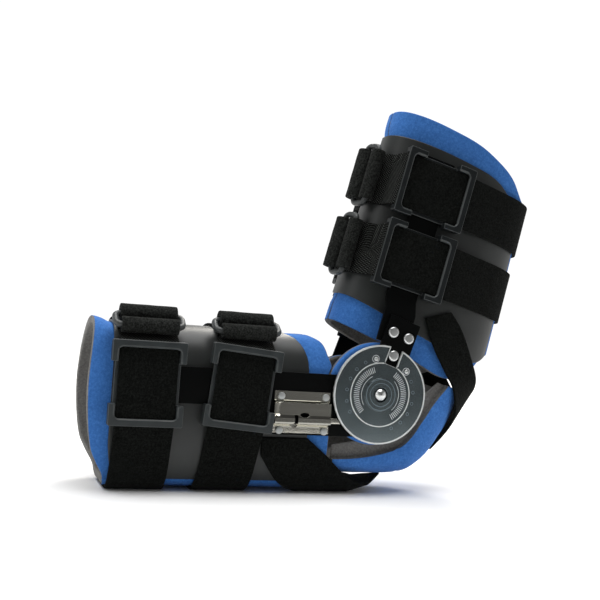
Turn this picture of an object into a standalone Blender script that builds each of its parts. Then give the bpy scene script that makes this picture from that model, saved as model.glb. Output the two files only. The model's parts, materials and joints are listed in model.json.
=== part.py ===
"""A hinged elbow brace resting on its forearm cuff: two padded cuffs, joined by a steel dial hinge on each side.

Metres, +Z up, +X from the wrist to the elbow, and -Y the outer side with the lock. Each cuff is worked out in its
own frame: x along the limb from the hinge axis, y across it, z towards the inside of the elbow.
"""

import math

import bmesh
import bpy
from mathutils import Matrix, Vector

# Where the hinge axis crosses the middle plane, and how far the upper cuff and the hinge's tongue are turned up
ELBOW_X = 0.0367
ELBOW_Z = 0.0750
BEND_DEG, TONGUE_DEG = 77.0, 72.0

CLEAR = 0.0003
SHELL_WALL = 0.0020
FOAM_WALL = 0.0050
STRAP_WALL = 0.0020
STRAP_WIDTH = 0.0400
STEPS_AROUND = 36
SLIT_HALF = 0.0005

# A cuff's shell at two places along the limb: distance from the hinge axis, front, back and half its width
FOREARM_SECTIONS = ((0.034, 0.0405, -0.0727, 0.0377), (0.205, 0.0405, -0.0727, 0.0377))
UPPER_SECTIONS = ((0.060, 0.0397, -0.0959, 0.0320), (0.185, 0.0358, -0.0936, 0.0320))
FOREARM_SQUARENESS, FOREARM_FLATTENED = 3.0, 0.0020
UPPER_SQUARENESS, UPPER_FLATTENED = 2.6, 0.0

# Ends of the foam and of the shells: place across the limb, distance from the hinge axis
FOREARM_LINER_START = ((-0.0727, 0.034), (0.0191, 0.034), (0.026, 0.0362), (0.0358, 0.0395), (0.0405, 0.046))
FOREARM_LINER_END = (
    (-0.0727, 0.187), (-0.0652, 0.189), (-0.056, 0.197), (-0.046, 0.2025), (-0.0233, 0.206), (0.002, 0.207),
    (0.0405, 0.204),
)
FOREARM_SHELL_START = ((-0.0727, 0.050), (0.0126, 0.0521), (0.026, 0.0539), (0.0364, 0.0605), (0.0405, 0.069))
FOREARM_SHELL_END = ((-0.0727, 0.184), (-0.060, 0.188), (-0.040, 0.191), (0.0405, 0.191))
UPPER_LINER_START = (
    (-0.0959, 0.0579), (-0.0880, 0.0508), (-0.0801, 0.0412), (-0.0632, 0.0283), (-0.0500, 0.0268),
    (-0.0251, 0.0320), (0.0318, 0.0425), (0.0397, 0.0447),
)
UPPER_LINER_END = (
    (-0.0959, 0.1773), (-0.0840, 0.1813), (-0.0699, 0.1916), (-0.0535, 0.1990), (-0.0311, 0.2059),
    (-0.0005, 0.2099), (0.0397, 0.2139),
)
UPPER_SHELL_START = (
    (-0.0959, 0.0679), (-0.0879, 0.0525), (-0.0750, 0.0446), (-0.0251, 0.0510), (0.0397, 0.0657),
)
UPPER_SHELL_END = (
    (-0.0959, 0.1642), (-0.0700, 0.1761), (-0.0550, 0.1839), (-0.0371, 0.1878), (0.0397, 0.1938),
)
# Each cuff has a half shell on each side, with a gap between them at the front and at the back
NEAR_FRONT_DEG, FAR_FRONT_DEG = 100.0, 60.0
FOREARM_BACK_DEG, UPPER_BACK_DEG = -50.0, -57.0

# The hinge stack, as distances out from the middle plane
PAD_FACE, PAD_THICK, PAD_RADIUS = 0.0374, 0.0075, 0.0375
# The far hinge is a plain small pivot: radius of its disc, of its tongue's round end and of its pad
FAR_DIAL_RADIUS, FAR_HUB_RADIUS, FAR_PAD_RADIUS = 0.0240, 0.0225, 0.0245
LOWER_PLATE_IN, LOWER_PLATE_OUT = 0.0380, 0.0404
UPPER_PLATE_IN, UPPER_PLATE_OUT = 0.0407, 0.0427
DIAL_IN, DIAL_OUT = 0.0430, 0.0450
BOSS_OUT, RIVET_OUT = 0.0464, 0.0484
DIAL_RADIUS, INNER_CIRCLE, BOSS_RADIUS, RIVET_RADIUS = 0.0360, 0.0230, 0.0120, 0.0049
NOTCH_HALF = 0.0048
PIN_CLEAR = 0.0004

# The flat steel bars
BAR_HALF, BAR_THICK = 0.0125, 0.0024
FOREARM_BAR_END, WIDE_PLATE_FROM, WIDE_PLATE_LOW = 0.188, 0.081, -0.0315
PLATE_ROUND, HUB_RADIUS = 0.0315, 0.0300
TONGUE_END, UPPER_BAR_START, UPPER_BAR_END = 0.058, 0.038, 0.182
STEP_FROM, STEP_TO = 0.0630, 0.0728

# Frames over the straps, in their own plane: along the limb and round it
FRAME_LONG, FRAME_ACROSS = 0.0286, 0.0250
FRAME_BAR, FRAME_ARM, FRAME_POST = 0.0050, 0.0145, 0.0045
RAIL_IN, RAIL_OUT, RAIL_THICK = 0.0170, 0.0222, 0.0020
FRAME_CAP = 0.0024
RAIL_HALF, STRAP_FLAT_HALF = 0.0240, 0.0262
FOREARM_FRAME_Z, UPPER_FRAME_Z = 0.0, 0.0

# Straps: distance along the limb, and how far each leans from square to it
FOREARM_STRAPS = (("wrist", 0.169, 0.0), ("forearm", 0.103, 5.0))
UPPER_STRAPS = (("upper", 0.1020, 0.0), ("armpit", 0.1574, 0.0))

# Rings and the strap ends folded round them. A ring lies on the strap at the near shoulder, below the cuff's front
RING_LENGTH, RING_SPACING, RING_WIRE, RING_CORNER = 0.0500, 0.0130, 0.0022, 0.0040
LOW_ROLL, HIGH_ROLL, ROLL_HALF = 0.0056, 0.0070, 0.0195
ROLL_CLEAR = 0.0010
FOREARM_RING_DROP, UPPER_RING_DROP = 0.0070, 0.0004

# The lock on the near plate
BRACKET_LEFT, BRACKET_RIGHT, SHEET = -0.0787, -0.0372, 0.0012
BOLT_TIP, BOLT_SLANT, BOLT_BACK = -0.0288, 0.0029, -0.0590
BOLT_LOW, BOLT_HIGH = -0.0225, -0.0185
BOLT_IN, BOLT_OUT = 0.0411, 0.0441
LOCK_RIVETS = ((-0.0739, -0.0042), (-0.0741, -0.0283), (-0.0406, -0.0042), (-0.0406, -0.0283))
LOCK_RIVET_RADIUS, LOCK_RIVET_HEIGHT = 0.0026, 0.0011

# The elbow pad's outer face, a row for each section: middle x, z, then rim x, z, from the hinge axis
PAD_ROWS = (
    (0.080, 0.002, 0.061, 0.008),
    (0.078, -0.010, 0.055, 0.001),
    (0.072, -0.025, 0.049, -0.007),
    (0.062, -0.041, 0.042, -0.018),
    (0.050, -0.054, 0.034, -0.030),
    (0.036, -0.061, 0.024, -0.0395),
    (0.014, -0.0625, 0.004, -0.0455),
    (-0.009, -0.0625, -0.012, -0.0480),
    (-0.030, -0.0625, -0.029, -0.0490),
)
PAD_HALF = 0.0340
PAD_WALL = 0.0060
PAD_STEPS = 8
# The pad's lining stands above its rim as a thin flap: rows as the pad's, with the flap's height at each
FLAP_HEIGHTS = (0.0070, 0.0080, 0.0095, 0.0110, 0.0120, 0.0120, 0.0120, 0.0115, 0.0100)
FLAP_FROM, FLAP_OUT, FLAP_IN = 0.0010, 0.0295, 0.0273

# The lower sling on the forearm cuff's outline: degrees from straight down, then its edges along X
LOWER_SLING_ROWS = (
    (74.0, -0.0855, -0.0510),
    (62.0, -0.0845, -0.0375),
    (52.0, -0.0770, -0.0290),
    (42.0, -0.0690, -0.0250),
    (31.0, -0.0580, -0.0200),
    (15.0, -0.0400, 0.0060),
    (0.0, -0.0280, 0.0240),
)
SLING_RISE_FROM, SLING_RISE = -0.0100, 0.30
SLING_TOP_DEG, SLING_STEPS = 16.0, 16

# The upper sling's two edges, from the outer side to the middle plane: x, y, z of each
UPPER_SLING_ROWS = (
    ((0.0374, -0.0326, 0.0581), (0.0590, -0.0326, 0.0640)),
    ((0.0447, -0.0332, 0.0383), (0.0690, -0.0332, 0.0500)),
    ((0.0560, -0.0342, 0.0185), (0.0800, -0.0305, 0.0285)),
    ((0.0635, -0.0354, 0.0048), (0.0880, -0.0240, 0.0130)),
    ((0.0682, -0.0280, -0.0178), (0.0895, -0.0135, 0.0020)),
    ((0.0648, 0.0000, -0.0438), (0.0870, 0.0000, -0.0085)),
)

FOAM_BLUE = (0.03, 0.12, 0.45)
SHELL_GREY = (0.045, 0.047, 0.046)
STRAP_BLACK = (0.006, 0.006, 0.006)
FRAME_GREY = (0.030, 0.034, 0.035)
RING_GREY = (0.16, 0.16, 0.16)
BAR_BLACK = (0.008, 0.008, 0.008)
STEEL = (0.55, 0.56, 0.57)

SURFACES = {
    "foam": (FOAM_BLUE, 0.9, 0.0),
    "shell": (SHELL_GREY, 0.55, 0.0),
    "strap": (STRAP_BLACK, 0.95, 0.0),
    "frame": (FRAME_GREY, 0.45, 0.0),
    "ring": (RING_GREY, 0.5, 0.0),
    "bar": (BAR_BLACK, 0.4, 0.0),
    "steel": (STEEL, 0.2, 1.0),
}


def clear_scene():
    for obj in list(bpy.data.objects):
        bpy.data.objects.remove(obj)


def material(name, surface):
    colour, roughness, metallic = SURFACES[surface]
    made = bpy.data.materials.new(name)
    made.use_nodes = True
    shader = made.node_tree.nodes["Principled BSDF"]
    shader.inputs["Base Color"].default_value = (*colour, 1.0)
    shader.inputs["Roughness"].default_value = roughness
    shader.inputs["Metallic"].default_value = metallic
    made.diffuse_color = (*colour, 1.0)
    return made


def empty(name, bend_deg=0.0):
    """A parent on the hinge axis. The upper arm's is turned, so that its x runs along the limb."""
    made = bpy.data.objects.new(name, None)
    made.location = (ELBOW_X, 0.0, ELBOW_Z)
    made.rotation_euler = (0.0, math.radians(-bend_deg), 0.0)
    bpy.context.collection.objects.link(made)
    return made


def object_of(name, mesh, parent, surface):
    made = bpy.data.objects.new(name, mesh)
    made.parent = parent
    mesh.materials.clear()
    mesh.materials.append(material(name, surface))
    bpy.context.collection.objects.link(made)
    return made


def mesh_of(name, bm, smooth_deg=35.0):
    bmesh.ops.remove_doubles(bm, verts=bm.verts, dist=1e-6)
    bmesh.ops.recalc_face_normals(bm, faces=bm.faces)
    mesh = bpy.data.meshes.new(name)
    bm.to_mesh(mesh)
    bm.free()
    mesh.shade_smooth()
    mesh.set_sharp_from_angle(angle=math.radians(smooth_deg))
    return mesh


def mirrored(near, name):
    """The same piece on the far side of the brace."""
    copy = near.data.copy()
    copy.name = name
    copy.transform(Matrix.Scale(-1.0, 4, (0.0, 1.0, 0.0)))
    copy.flip_normals()
    made = bpy.data.objects.new(name, copy)
    made.parent = near.parent
    bpy.context.collection.objects.link(made)
    return made


def read_row(rows, at):
    """Values at a place in a table whose first column rises or falls steadily."""
    rows = sorted(rows)
    if at <= rows[0][0]:
        return rows[0][1:]
    for low, high in zip(rows, rows[1:]):
        if at <= high[0]:
            part = (at - low[0]) / (high[0] - low[0])
            return tuple(a + (b - a) * part for a, b in zip(low[1:], high[1:]))
    return rows[-1][1:]


def smooth_row(rows, at):
    """A smooth curve through the rows of a table, at a row number that need not be whole."""
    i = min(int(at), len(rows) - 2)
    t = at - i
    around = [rows[max(0, min(len(rows) - 1, i + k))] for k in (-1, 0, 1, 2)]
    return tuple(
        0.5 * (2 * b + (c - a) * t + (2 * a - 5 * b + 4 * c - d) * t * t + (3 * b - a - 3 * c + d) * t**3)
        for a, b, c, d in zip(*around)
    )


class Cuff:
    """One cuff's outline. Angle 0 is the outer side and 90 the inside of the elbow. x runs away from the hinge."""

    def __init__(
        self, parent, direction, sections, squareness, flattened, frame_z, ring_drop, back_deg
    ):
        self.parent, self.direction = parent, direction
        self.sections, self.squareness, self.flattened = sections, squareness, flattened
        self.frame_z, self.ring_drop, self.back_deg = frame_z, ring_drop, back_deg

    def section(self, along):
        (s0, *low), (s1, *high) = self.sections
        part = (along - s0) / (s1 - s0)
        return [a + (b - a) * part for a, b in zip(low, high)]

    def outline(self, along, angle_deg, outward):
        """(y, z) of the shell's outline, moved outward. The back is pressed flat where the brace rests on it."""
        front, back, half = self.section(along)
        round_back = back - self.flattened
        c, s = math.cos(math.radians(angle_deg)), math.sin(math.radians(angle_deg))
        reach = (abs(c) ** self.squareness + abs(s) ** self.squareness) ** (-1.0 / self.squareness)
        y = -(half + outward) * reach * c
        z = (front + round_back) / 2 + ((front - round_back) / 2 + outward) * reach * s
        return y, max(z, back - outward)

    def angle_at(self, along, z):
        """The angle on the outer side where the strap's inner face is at this height."""
        low, high = -89.0, 89.0
        for _ in range(30):
            middle = (low + high) / 2
            if self.outline(along, middle, CLEAR)[1] < z:
                low = middle
            else:
                high = middle
        return low

    def ring_angle(self, along):
        return self.angle_at(along, self.section(along)[0] - self.ring_drop)

    def point(self, along, y, z):
        return Vector((self.direction * along, y, z))

    def side(self, along):
        """How far the shell's outer side is from the middle plane."""
        return self.section(along)[2]


def wrapped_wall(cuff, angles, starts, ends, inner, outer, stations):
    """A wall that follows the cuff's outline from the first angle to the last, clear of the condyle pads."""
    bm = bmesh.new()
    grid = []
    for angle in angles:
        column = []
        y, place = cuff.outline(cuff.sections[0][0], angle, 0.0)
        radius = PAD_RADIUS if y < 0.0 else FAR_PAD_RADIUS
        beside_pad = math.sqrt(max(0.0, (radius + 3 * CLEAR) ** 2 - place**2))
        first, last = max(read_row(starts, place)[0], beside_pad), read_row(ends, place)[0]
        for j in range(stations + 1):
            along = first + (last - first) * j / stations
            column.append(
                [bm.verts.new(cuff.point(along, *cuff.outline(along, angle, out))) for out in (inner, outer)]
            )
        grid.append(column)
    skin(bm, grid)
    return bm


def skin(bm, grid):
    """Faces over a grid of inner and outer points, with its four edges closed."""
    across, along = len(grid) - 1, len(grid[0]) - 1
    for layer in (0, 1):
        for i in range(across):
            for j in range(along):
                bm.faces.new([grid[a][b][layer] for a, b in ((i, j), (i + 1, j), (i + 1, j + 1), (i, j + 1))])
    for j in (0, along):
        for i in range(across):
            bm.faces.new([grid[i][j][0], grid[i + 1][j][0], grid[i + 1][j][1], grid[i][j][1]])
    for i in (0, across):
        for j in range(along):
            bm.faces.new([grid[i][j][0], grid[i][j + 1][0], grid[i][j + 1][1], grid[i][j][1]])


def slit_angles(slit_deg, width, reach):
    """Angles round the whole outline from a narrow slit, given how far out the outline is there."""
    step = 360.0 / STEPS_AROUND
    edge = math.degrees(width / reach)
    whole = [90.0 + step * i for i in range(-STEPS_AROUND, 2 * STEPS_AROUND)]
    first, last = slit_deg + edge, slit_deg + 360.0 - edge
    return [first] + [angle for angle in whole if first + 1.0 < angle < last - 1.0] + [last]


def liner(cuff, name, starts, ends):
    out = -SHELL_WALL - CLEAR
    bm = wrapped_wall(cuff, slit_angles(90.0, SLIT_HALF, cuff.side(0.1)), starts, ends, out - FOAM_WALL, out, 4)
    return object_of(name, mesh_of(name, bm), cuff.parent, "foam")


def shell(cuff, name, side, starts, ends):
    """A half shell on the outer side, 1, or the other, -1, from the gap at the back to the gap at the front."""
    step = 360.0 / STEPS_AROUND
    back, front = cuff.back_deg, NEAR_FRONT_DEG if side > 0 else FAR_FRONT_DEG
    whole = [90.0 + step * i for i in range(-STEPS_AROUND, 1)]
    angles = [back] + [angle for angle in whole if back + 3.0 < angle < front - 3.0] + [front]
    if side < 0:
        angles = [180.0 - angle for angle in angles]
    bm = wrapped_wall(cuff, angles, starts, ends, -SHELL_WALL, 0.0, 3)
    return object_of(name, mesh_of(name, bm), cuff.parent, "shell")


def strap_path(cuff, along, angle_deg, shift=0.0):
    """Where the strap's inner face runs: over the frame's rails, then straight to where it meets the shell."""
    over = cuff.side(along) + 4 * CLEAR + BAR_THICK + RAIL_THICK
    y, z = cuff.outline(along, angle_deg, CLEAR)
    middle = cuff.frame_z + shift
    beyond = abs(z - middle) - STRAP_FLAT_HALF
    if beyond <= 1e-6:
        return math.copysign(over, y), z
    slopes = []
    for step in range(0, 90, 3):
        py, pz = cuff.outline(along, math.copysign(step, z - middle), CLEAR)
        out = abs(pz - middle) - STRAP_FLAT_HALF
        if out > 0.002:
            slopes.append(((over - abs(py)) / out, out))
    slope, meets = min(slopes)
    straight = over - slope * beyond if beyond < meets else 0.0
    return math.copysign(max(abs(y), straight), y), z


def strap_rows(cuff, centre):
    """Angles round a strap, with the four places where it leaves a frame: which end of it, and which side."""
    slit = cuff.ring_angle(centre)
    rows = [(angle, None, None) for angle in slit_angles(slit, 2 * SLIT_HALF, 0.060)]
    for end in (-1, 1):
        near = cuff.angle_at(centre, cuff.frame_z + end * STRAP_FLAT_HALF)
        rows = [row for row in rows if min(abs(row[0] - 360.0 - near), abs(row[0] - 180.0 + near)) > 3.0]
        rows += [(near + 360.0, end, 1), (180.0 - near, end, -1)]
    return sorted(rows, key=lambda row: row[0])


def strap(cuff, name, centre, lean_deg):
    """A closed strap round the shell, passing over the frames' rails, with its ends meeting under the ring."""
    bm = bmesh.new()
    lean = math.tan(math.radians(lean_deg))
    grid = []
    for row_angle, end, side in strap_rows(cuff, centre):
        _, place = cuff.outline(centre, row_angle, CLEAR)
        column = []
        for edge in (-STRAP_WIDTH / 2, STRAP_WIDTH / 2):
            along = centre - lean * place + edge
            shift = lean * edge
            angle = row_angle
            if end is not None:
                angle = cuff.angle_at(along, cuff.frame_z + shift + end * STRAP_FLAT_HALF)
                angle = angle if side > 0 else 180.0 - angle
            y, z = strap_path(cuff, along, angle, shift)
            thicker_y, thicker_z = cuff.outline(along, angle, CLEAR + STRAP_WALL)
            plain_y, plain_z = cuff.outline(along, angle, CLEAR)
            outer = (y + thicker_y - plain_y, z + thicker_z - plain_z)
            column.append([bm.verts.new(cuff.point(along, *pair)) for pair in ((y, z), outer)])
        grid.append(column)
    skin(bm, grid)
    return object_of(name, mesh_of(name, bm), cuff.parent, "strap")


def box(bm, low, high):
    centre = [(a + b) / 2 for a, b in zip(low, high)]
    size = [b - a for a, b in zip(low, high)]
    bmesh.ops.create_cube(bm, size=1.0, matrix=Matrix.LocRotScale(centre, None, size))


def frame(cuff, name, centre, lean_deg):
    """A rectangle whose two crossbars pass over the strap and whose two rails pass under it."""
    base = cuff.side(centre) + 2 * CLEAR + BAR_THICK
    top = base + RAIL_THICK + STRAP_WALL + 3 * CLEAR + FRAME_CAP
    solid = None
    boxes = []
    for side in (-1, 1):
        for end in (-1, 1):
            xs = sorted((side * FRAME_ACROSS, side * (FRAME_ACROSS - FRAME_POST)))
            zs = sorted((end * FRAME_LONG, end * (FRAME_LONG - FRAME_ARM)))
            boxes.append(((xs[0], -top, zs[0]), (xs[1], -base, zs[1])))
        xs = sorted((side * RAIL_IN, side * RAIL_OUT))
        boxes.append(((xs[0], -base - RAIL_THICK, -RAIL_HALF), (xs[1], -base, RAIL_HALF)))
        zs = sorted((side * FRAME_LONG, side * (FRAME_LONG - FRAME_BAR)))
        reach = FRAME_ACROSS - FRAME_POST / 2
        boxes.append(((-reach, -top, zs[0]), (reach, -top + FRAME_CAP, zs[1])))
    for i, (low, high) in enumerate(boxes):
        bm = bmesh.new()
        box(bm, low, high)
        piece = object_of(f"{name}_box_{i}", mesh_of(name, bm), cuff.parent, "frame")
        if solid is None:
            solid = piece
            solid.name = name
        else:
            combine(solid, piece, "UNION")
    lean = Matrix.Rotation(math.radians(-lean_deg * cuff.direction), 4, "Y")
    solid.data.transform(Matrix.Translation((cuff.direction * centre, 0.0, cuff.frame_z)) @ lean)
    solid.data.shade_smooth()
    solid.data.set_sharp_from_angle(angle=math.radians(35.0))
    return solid


def combine(solid, other, operation):
    """Applies a Boolean at once and removes the other object."""
    modifier = solid.modifiers.new(operation.lower(), "BOOLEAN")
    modifier.operation = operation
    modifier.object = other
    other.hide_render = True
    other.display_type = "WIRE"
    bpy.context.view_layer.update()
    graph = bpy.context.evaluated_depsgraph_get()
    made = bpy.data.meshes.new_from_object(solid.evaluated_get(graph))
    solid.modifiers.clear()
    kept = solid.data.materials[0]
    solid.data = made
    made.materials.clear()
    made.materials.append(kept)
    bpy.data.objects.remove(other)


def cut_round(solid, x, z, radius, low=-0.060, high=-0.020):
    bm = bmesh.new()
    turn = Matrix.Rotation(math.radians(90.0), 4, "X")
    place = Matrix.Translation((x, (low + high) / 2, z))
    bmesh.ops.create_cone(
        bm, cap_ends=True, segments=24, radius1=radius, radius2=radius, depth=high - low, matrix=place @ turn
    )
    combine(solid, object_of("cutter", mesh_of("cutter", bm), solid.parent, "steel"), "DIFFERENCE")


def cut_box(solid, low, high):
    bm = bmesh.new()
    box(bm, low, high)
    combine(solid, object_of("cutter", mesh_of("cutter", bm), solid.parent, "steel"), "DIFFERENCE")


def plate(name, outline, inside, outside, parent, surface):
    """A flat plate on the near side from an outline in x and z, between two distances from the middle plane."""
    bm = bmesh.new()
    face = bm.faces.new([bm.verts.new((x, -inside, z)) for x, z in outline])
    pushed = bmesh.ops.extrude_face_region(bm, geom=[face])
    verts = [v for v in pushed["geom"] if isinstance(v, bmesh.types.BMVert)]
    bmesh.ops.translate(bm, verts=verts, vec=(0.0, inside - outside, 0.0))
    return object_of(name, mesh_of(name, bm), parent, surface)


def arc(radius, from_deg, to_deg, steps, x=0.0, z=0.0):
    turns = [math.radians(from_deg + (to_deg - from_deg) * i / steps) for i in range(steps + 1)]
    return [(x + radius * math.cos(t), z + radius * math.sin(t)) for t in turns]


def turned(name, profile, parent, surface, steps=24, x=0.0, z=0.0):
    """A round piece about an axis along Y, from rows of radius and distance out from the middle plane."""
    bm = bmesh.new()
    rings = []
    for radius, out in profile:
        if radius == 0.0:
            rings.append([bm.verts.new((x, -out, z))])
            continue
        ring = arc(radius, 0.0, 360.0 * (steps - 1) / steps, steps - 1, x, z)
        rings.append([bm.verts.new((px, -out, pz)) for px, pz in ring])
    for low, high in zip(rings, rings[1:]):
        for i in range(steps):
            corners = [low[i % len(low)], low[(i + 1) % len(low)], high[(i + 1) % len(high)], high[i % len(high)]]
            kept = list(dict.fromkeys(corners))
            if len(kept) > 2:
                bm.faces.new(kept)
    for ring in (rings[0], rings[-1]):
        if len(ring) > 1:
            bm.faces.new(ring)
    return object_of(name, mesh_of(name, bm), parent, surface)


def rivet(name, parent, x, z, seat, radius, height):
    profile = [(radius, seat), (radius * 0.97, seat + height * 0.45), (radius * 0.66, seat + height * 0.88)]
    return turned(name, profile + [(0.0, seat + height)], parent, "steel", steps=10, x=x, z=z)


def ring_place(cuff, centre, lean_deg):
    """Middle of a ring that lies on the strap at the near shoulder, with the directions across it and out of it."""
    angle = cuff.ring_angle(centre)
    y, z = strap_path(cuff, centre, angle)
    ahead, behind = strap_path(cuff, centre, angle + 2.0), strap_path(cuff, centre, angle - 2.0)
    along_strap = math.atan2(ahead[1] - behind[1], ahead[0] - behind[0])
    turn = along_strap + math.asin((HIGH_ROLL - LOW_ROLL) / RING_SPACING)
    across = Vector((0.0, math.cos(turn), math.sin(turn)))
    out = Vector((0.0, -math.sin(along_strap), math.cos(along_strap)))
    along = centre - math.tan(math.radians(lean_deg)) * z
    height = STRAP_WALL + ROLL_CLEAR + (LOW_ROLL + HIGH_ROLL) / 2
    return cuff.point(along, y, z) + out * height, across


def ring(cuff, name, centre, lean_deg):
    """A rectangular ring of round wire with rounded corners, its long bars along the limb."""
    middle, across = ring_place(cuff, centre, lean_deg)
    long_half, short_half = RING_LENGTH / 2 - RING_WIRE - RING_CORNER, RING_SPACING / 2 - RING_CORNER
    loop = []
    for turn_deg, x, z in ((0.0, 1, 1), (90.0, -1, 1), (180.0, -1, -1), (270.0, 1, -1)):
        loop += arc(RING_CORNER, turn_deg, turn_deg + 90.0, 3, x * long_half, z * short_half)
    curve = bpy.data.curves.new(name, "CURVE")
    curve.dimensions = "3D"
    curve.bevel_depth = RING_WIRE
    curve.bevel_resolution = 2
    spline = curve.splines.new("POLY")
    spline.points.add(len(loop) - 1)
    for point, (x, w) in zip(spline.points, loop):
        point.co = (*(middle + Vector((x, 0.0, 0.0)) + across * w), 1.0)
    spline.use_cyclic_u = True
    made = bpy.data.objects.new(name, curve)
    made.parent = cuff.parent
    curve.materials.append(material(name, "ring"))
    bpy.context.collection.objects.link(made)
    return made


def roll(cuff, name, centre, lean_deg):
    """The strap's two ends, each folded round one bar of the ring: two rolls side by side with the bars' holes."""
    middle, across = ring_place(cuff, centre, lean_deg)
    normal = Vector((0.0, -across.z, across.y))
    half = RING_SPACING / 2
    outline = arc(LOW_ROLL, 80.0, 280.0, 8, x=-half) + arc(HIGH_ROLL, -100.0, 100.0, 9, x=half)
    bm = bmesh.new()
    rings = []
    for x in (-ROLL_HALF, ROLL_HALF):
        places = [middle + Vector((x, 0.0, 0.0)) + across * a + normal * n for a, n in outline]
        rings.append([bm.verts.new(place) for place in places])
    count = len(outline)
    for i in range(count):
        bm.faces.new([rings[0][i], rings[0][(i + 1) % count], rings[1][(i + 1) % count], rings[1][i]])
    for face in rings:
        bm.faces.new(face)
    made = object_of(name, mesh_of(name, bm), cuff.parent, "strap")
    for side in (-1, 1):
        bm = bmesh.new()
        turn = Matrix.Rotation(math.radians(90.0), 4, "Y")
        place = Matrix.Translation(middle + across * (side * half))
        bmesh.ops.create_cone(
            bm, cap_ends=True, segments=12, radius1=RING_WIRE + CLEAR, radius2=RING_WIRE + CLEAR,
            depth=3 * ROLL_HALF, matrix=place @ turn,
        )
        combine(made, object_of("cutter", mesh_of("cutter", bm), cuff.parent, "strap"), "DIFFERENCE")
    return made


def dress(cuff, straps):
    """A cuff's straps, each with its ring, folded ends and two frames."""
    for word, centre, lean_deg in straps:
        strap(cuff, f"{word}_strap", centre, lean_deg)
        near = frame(cuff, f"{word}_frame_near", centre, lean_deg)
        mirrored(near, f"{word}_frame_far")
        ring(cuff, f"{word}_ring", centre, lean_deg)
        roll(cuff, f"{word}_strap_roll", centre, lean_deg)


def forearm_bar(parent):
    """The steel bar on the forearm shell and the wide plate behind the dial, in one piece."""
    right = math.degrees(math.asin(BAR_HALF / PLATE_ROUND))
    outline = [
        (-FOREARM_BAR_END, BAR_HALF),
        (-FOREARM_BAR_END, -BAR_HALF),
        (-WIDE_PLATE_FROM - 0.004, -BAR_HALF),
        (-WIDE_PLATE_FROM, -BAR_HALF - 0.004),
        (-WIDE_PLATE_FROM, WIDE_PLATE_LOW),
    ] + arc(PLATE_ROUND, -90.0, right, 14)
    near = plate("forearm_bar_near", outline, LOWER_PLATE_IN, LOWER_PLATE_OUT, parent, "bar")
    cut_round(near, 0.0, 0.0, RIVET_RADIUS + PIN_CLEAR)
    mirrored(near, "forearm_bar_far")


def far_from(near, name):
    """Moves a piece that was made on the near side to the far side."""
    mirrored(near, name)
    bpy.data.objects.remove(near)


def tongue(parent, name, radius):
    half = math.degrees(math.asin(BAR_HALF / radius))
    outline = arc(radius, half, 360.0 - half, 18)
    outline += [(TONGUE_END, -BAR_HALF), (TONGUE_END, BAR_HALF)]
    made = plate(name, outline, UPPER_PLATE_IN, UPPER_PLATE_OUT, parent, "bar")
    cut_round(made, 0.0, 0.0, RIVET_RADIUS + PIN_CLEAR)
    return made


def upper_plate(parent):
    """The tongues that turn with the dials and carry the upper bars."""
    tongue(parent, "upper_plate_near", HUB_RADIUS)
    far_from(tongue(parent, "tongue", FAR_HUB_RADIUS), "upper_plate_far")


def upper_bar(parent, cuff):
    """The bar under the upper straps, stepped inward above the hinge to lie on the narrower cuff."""
    low_out = UPPER_PLATE_IN - CLEAR
    high_in = cuff.side(0.1) + CLEAR
    path = (
        (UPPER_BAR_START, low_out - BAR_THICK),
        (STEP_FROM, low_out - BAR_THICK),
        (STEP_TO, high_in),
        (UPPER_BAR_END, high_in),
    )
    bm = bmesh.new()
    grid = []
    for z in (-BAR_HALF, BAR_HALF):
        rows = []
        for x, y in path:
            rows.append([bm.verts.new((x, -y, z)), bm.verts.new((x, -y - BAR_THICK, z))])
        grid.append(rows)
    skin(bm, grid)
    near = object_of("upper_bar_near", mesh_of("upper_bar_near", bm), parent, "bar")
    mirrored(near, "upper_bar_far")


def dial_disc(parent, name, outline):
    made = plate(name, outline, DIAL_IN, DIAL_OUT, parent, "steel")
    boss = turned("boss", [(BOSS_RADIUS, DIAL_IN + 0.001), (BOSS_RADIUS, BOSS_OUT)], parent, "steel", steps=24)
    combine(made, boss, "UNION")
    cut_round(made, 0.0, 0.0, RIVET_RADIUS + PIN_CLEAR)
    made.data.shade_smooth()
    made.data.set_sharp_from_angle(angle=math.radians(35.0))
    return made


def dial(parent):
    """The near dial, with a notch for the tongue and a raised boss, and the far side's small plain disc."""
    half = math.degrees(math.asin(NOTCH_HALF / DIAL_RADIUS))
    inner = math.sqrt(INNER_CIRCLE**2 - NOTCH_HALF**2)
    notch = [(inner, -NOTCH_HALF), (inner, NOTCH_HALF)]
    dial_disc(parent, "dial_near", arc(DIAL_RADIUS, half, 360.0 - half, 40) + notch)
    far_from(dial_disc(parent, "disc", arc(FAR_DIAL_RADIUS, 0.0, 350.0, 35)), "dial_far")


def hinge_pin(parent):
    profile = [
        (RIVET_RADIUS, PAD_FACE + CLEAR),
        (RIVET_RADIUS, BOSS_OUT + 0.0004),
        (RIVET_RADIUS * 0.8, RIVET_OUT - 0.0006),
        (0.0, RIVET_OUT),
    ]
    mirrored(turned("hinge_rivet_near", profile, parent, "steel"), "hinge_rivet_far")


def condyle_pad(parent):
    inside = PAD_FACE - PAD_THICK
    made = []
    for name, radius in (("condyle_pad_near", PAD_RADIUS), ("pad", FAR_PAD_RADIUS)):
        profile = [
            (radius - 0.002, inside),
            (radius, inside + 0.002),
            (radius, PAD_FACE - 0.002),
            (radius - 0.002, PAD_FACE),
        ]
        made.append(turned(name, profile, parent, "foam", steps=24))
    far_from(made[1], "condyle_pad_far")


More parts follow.
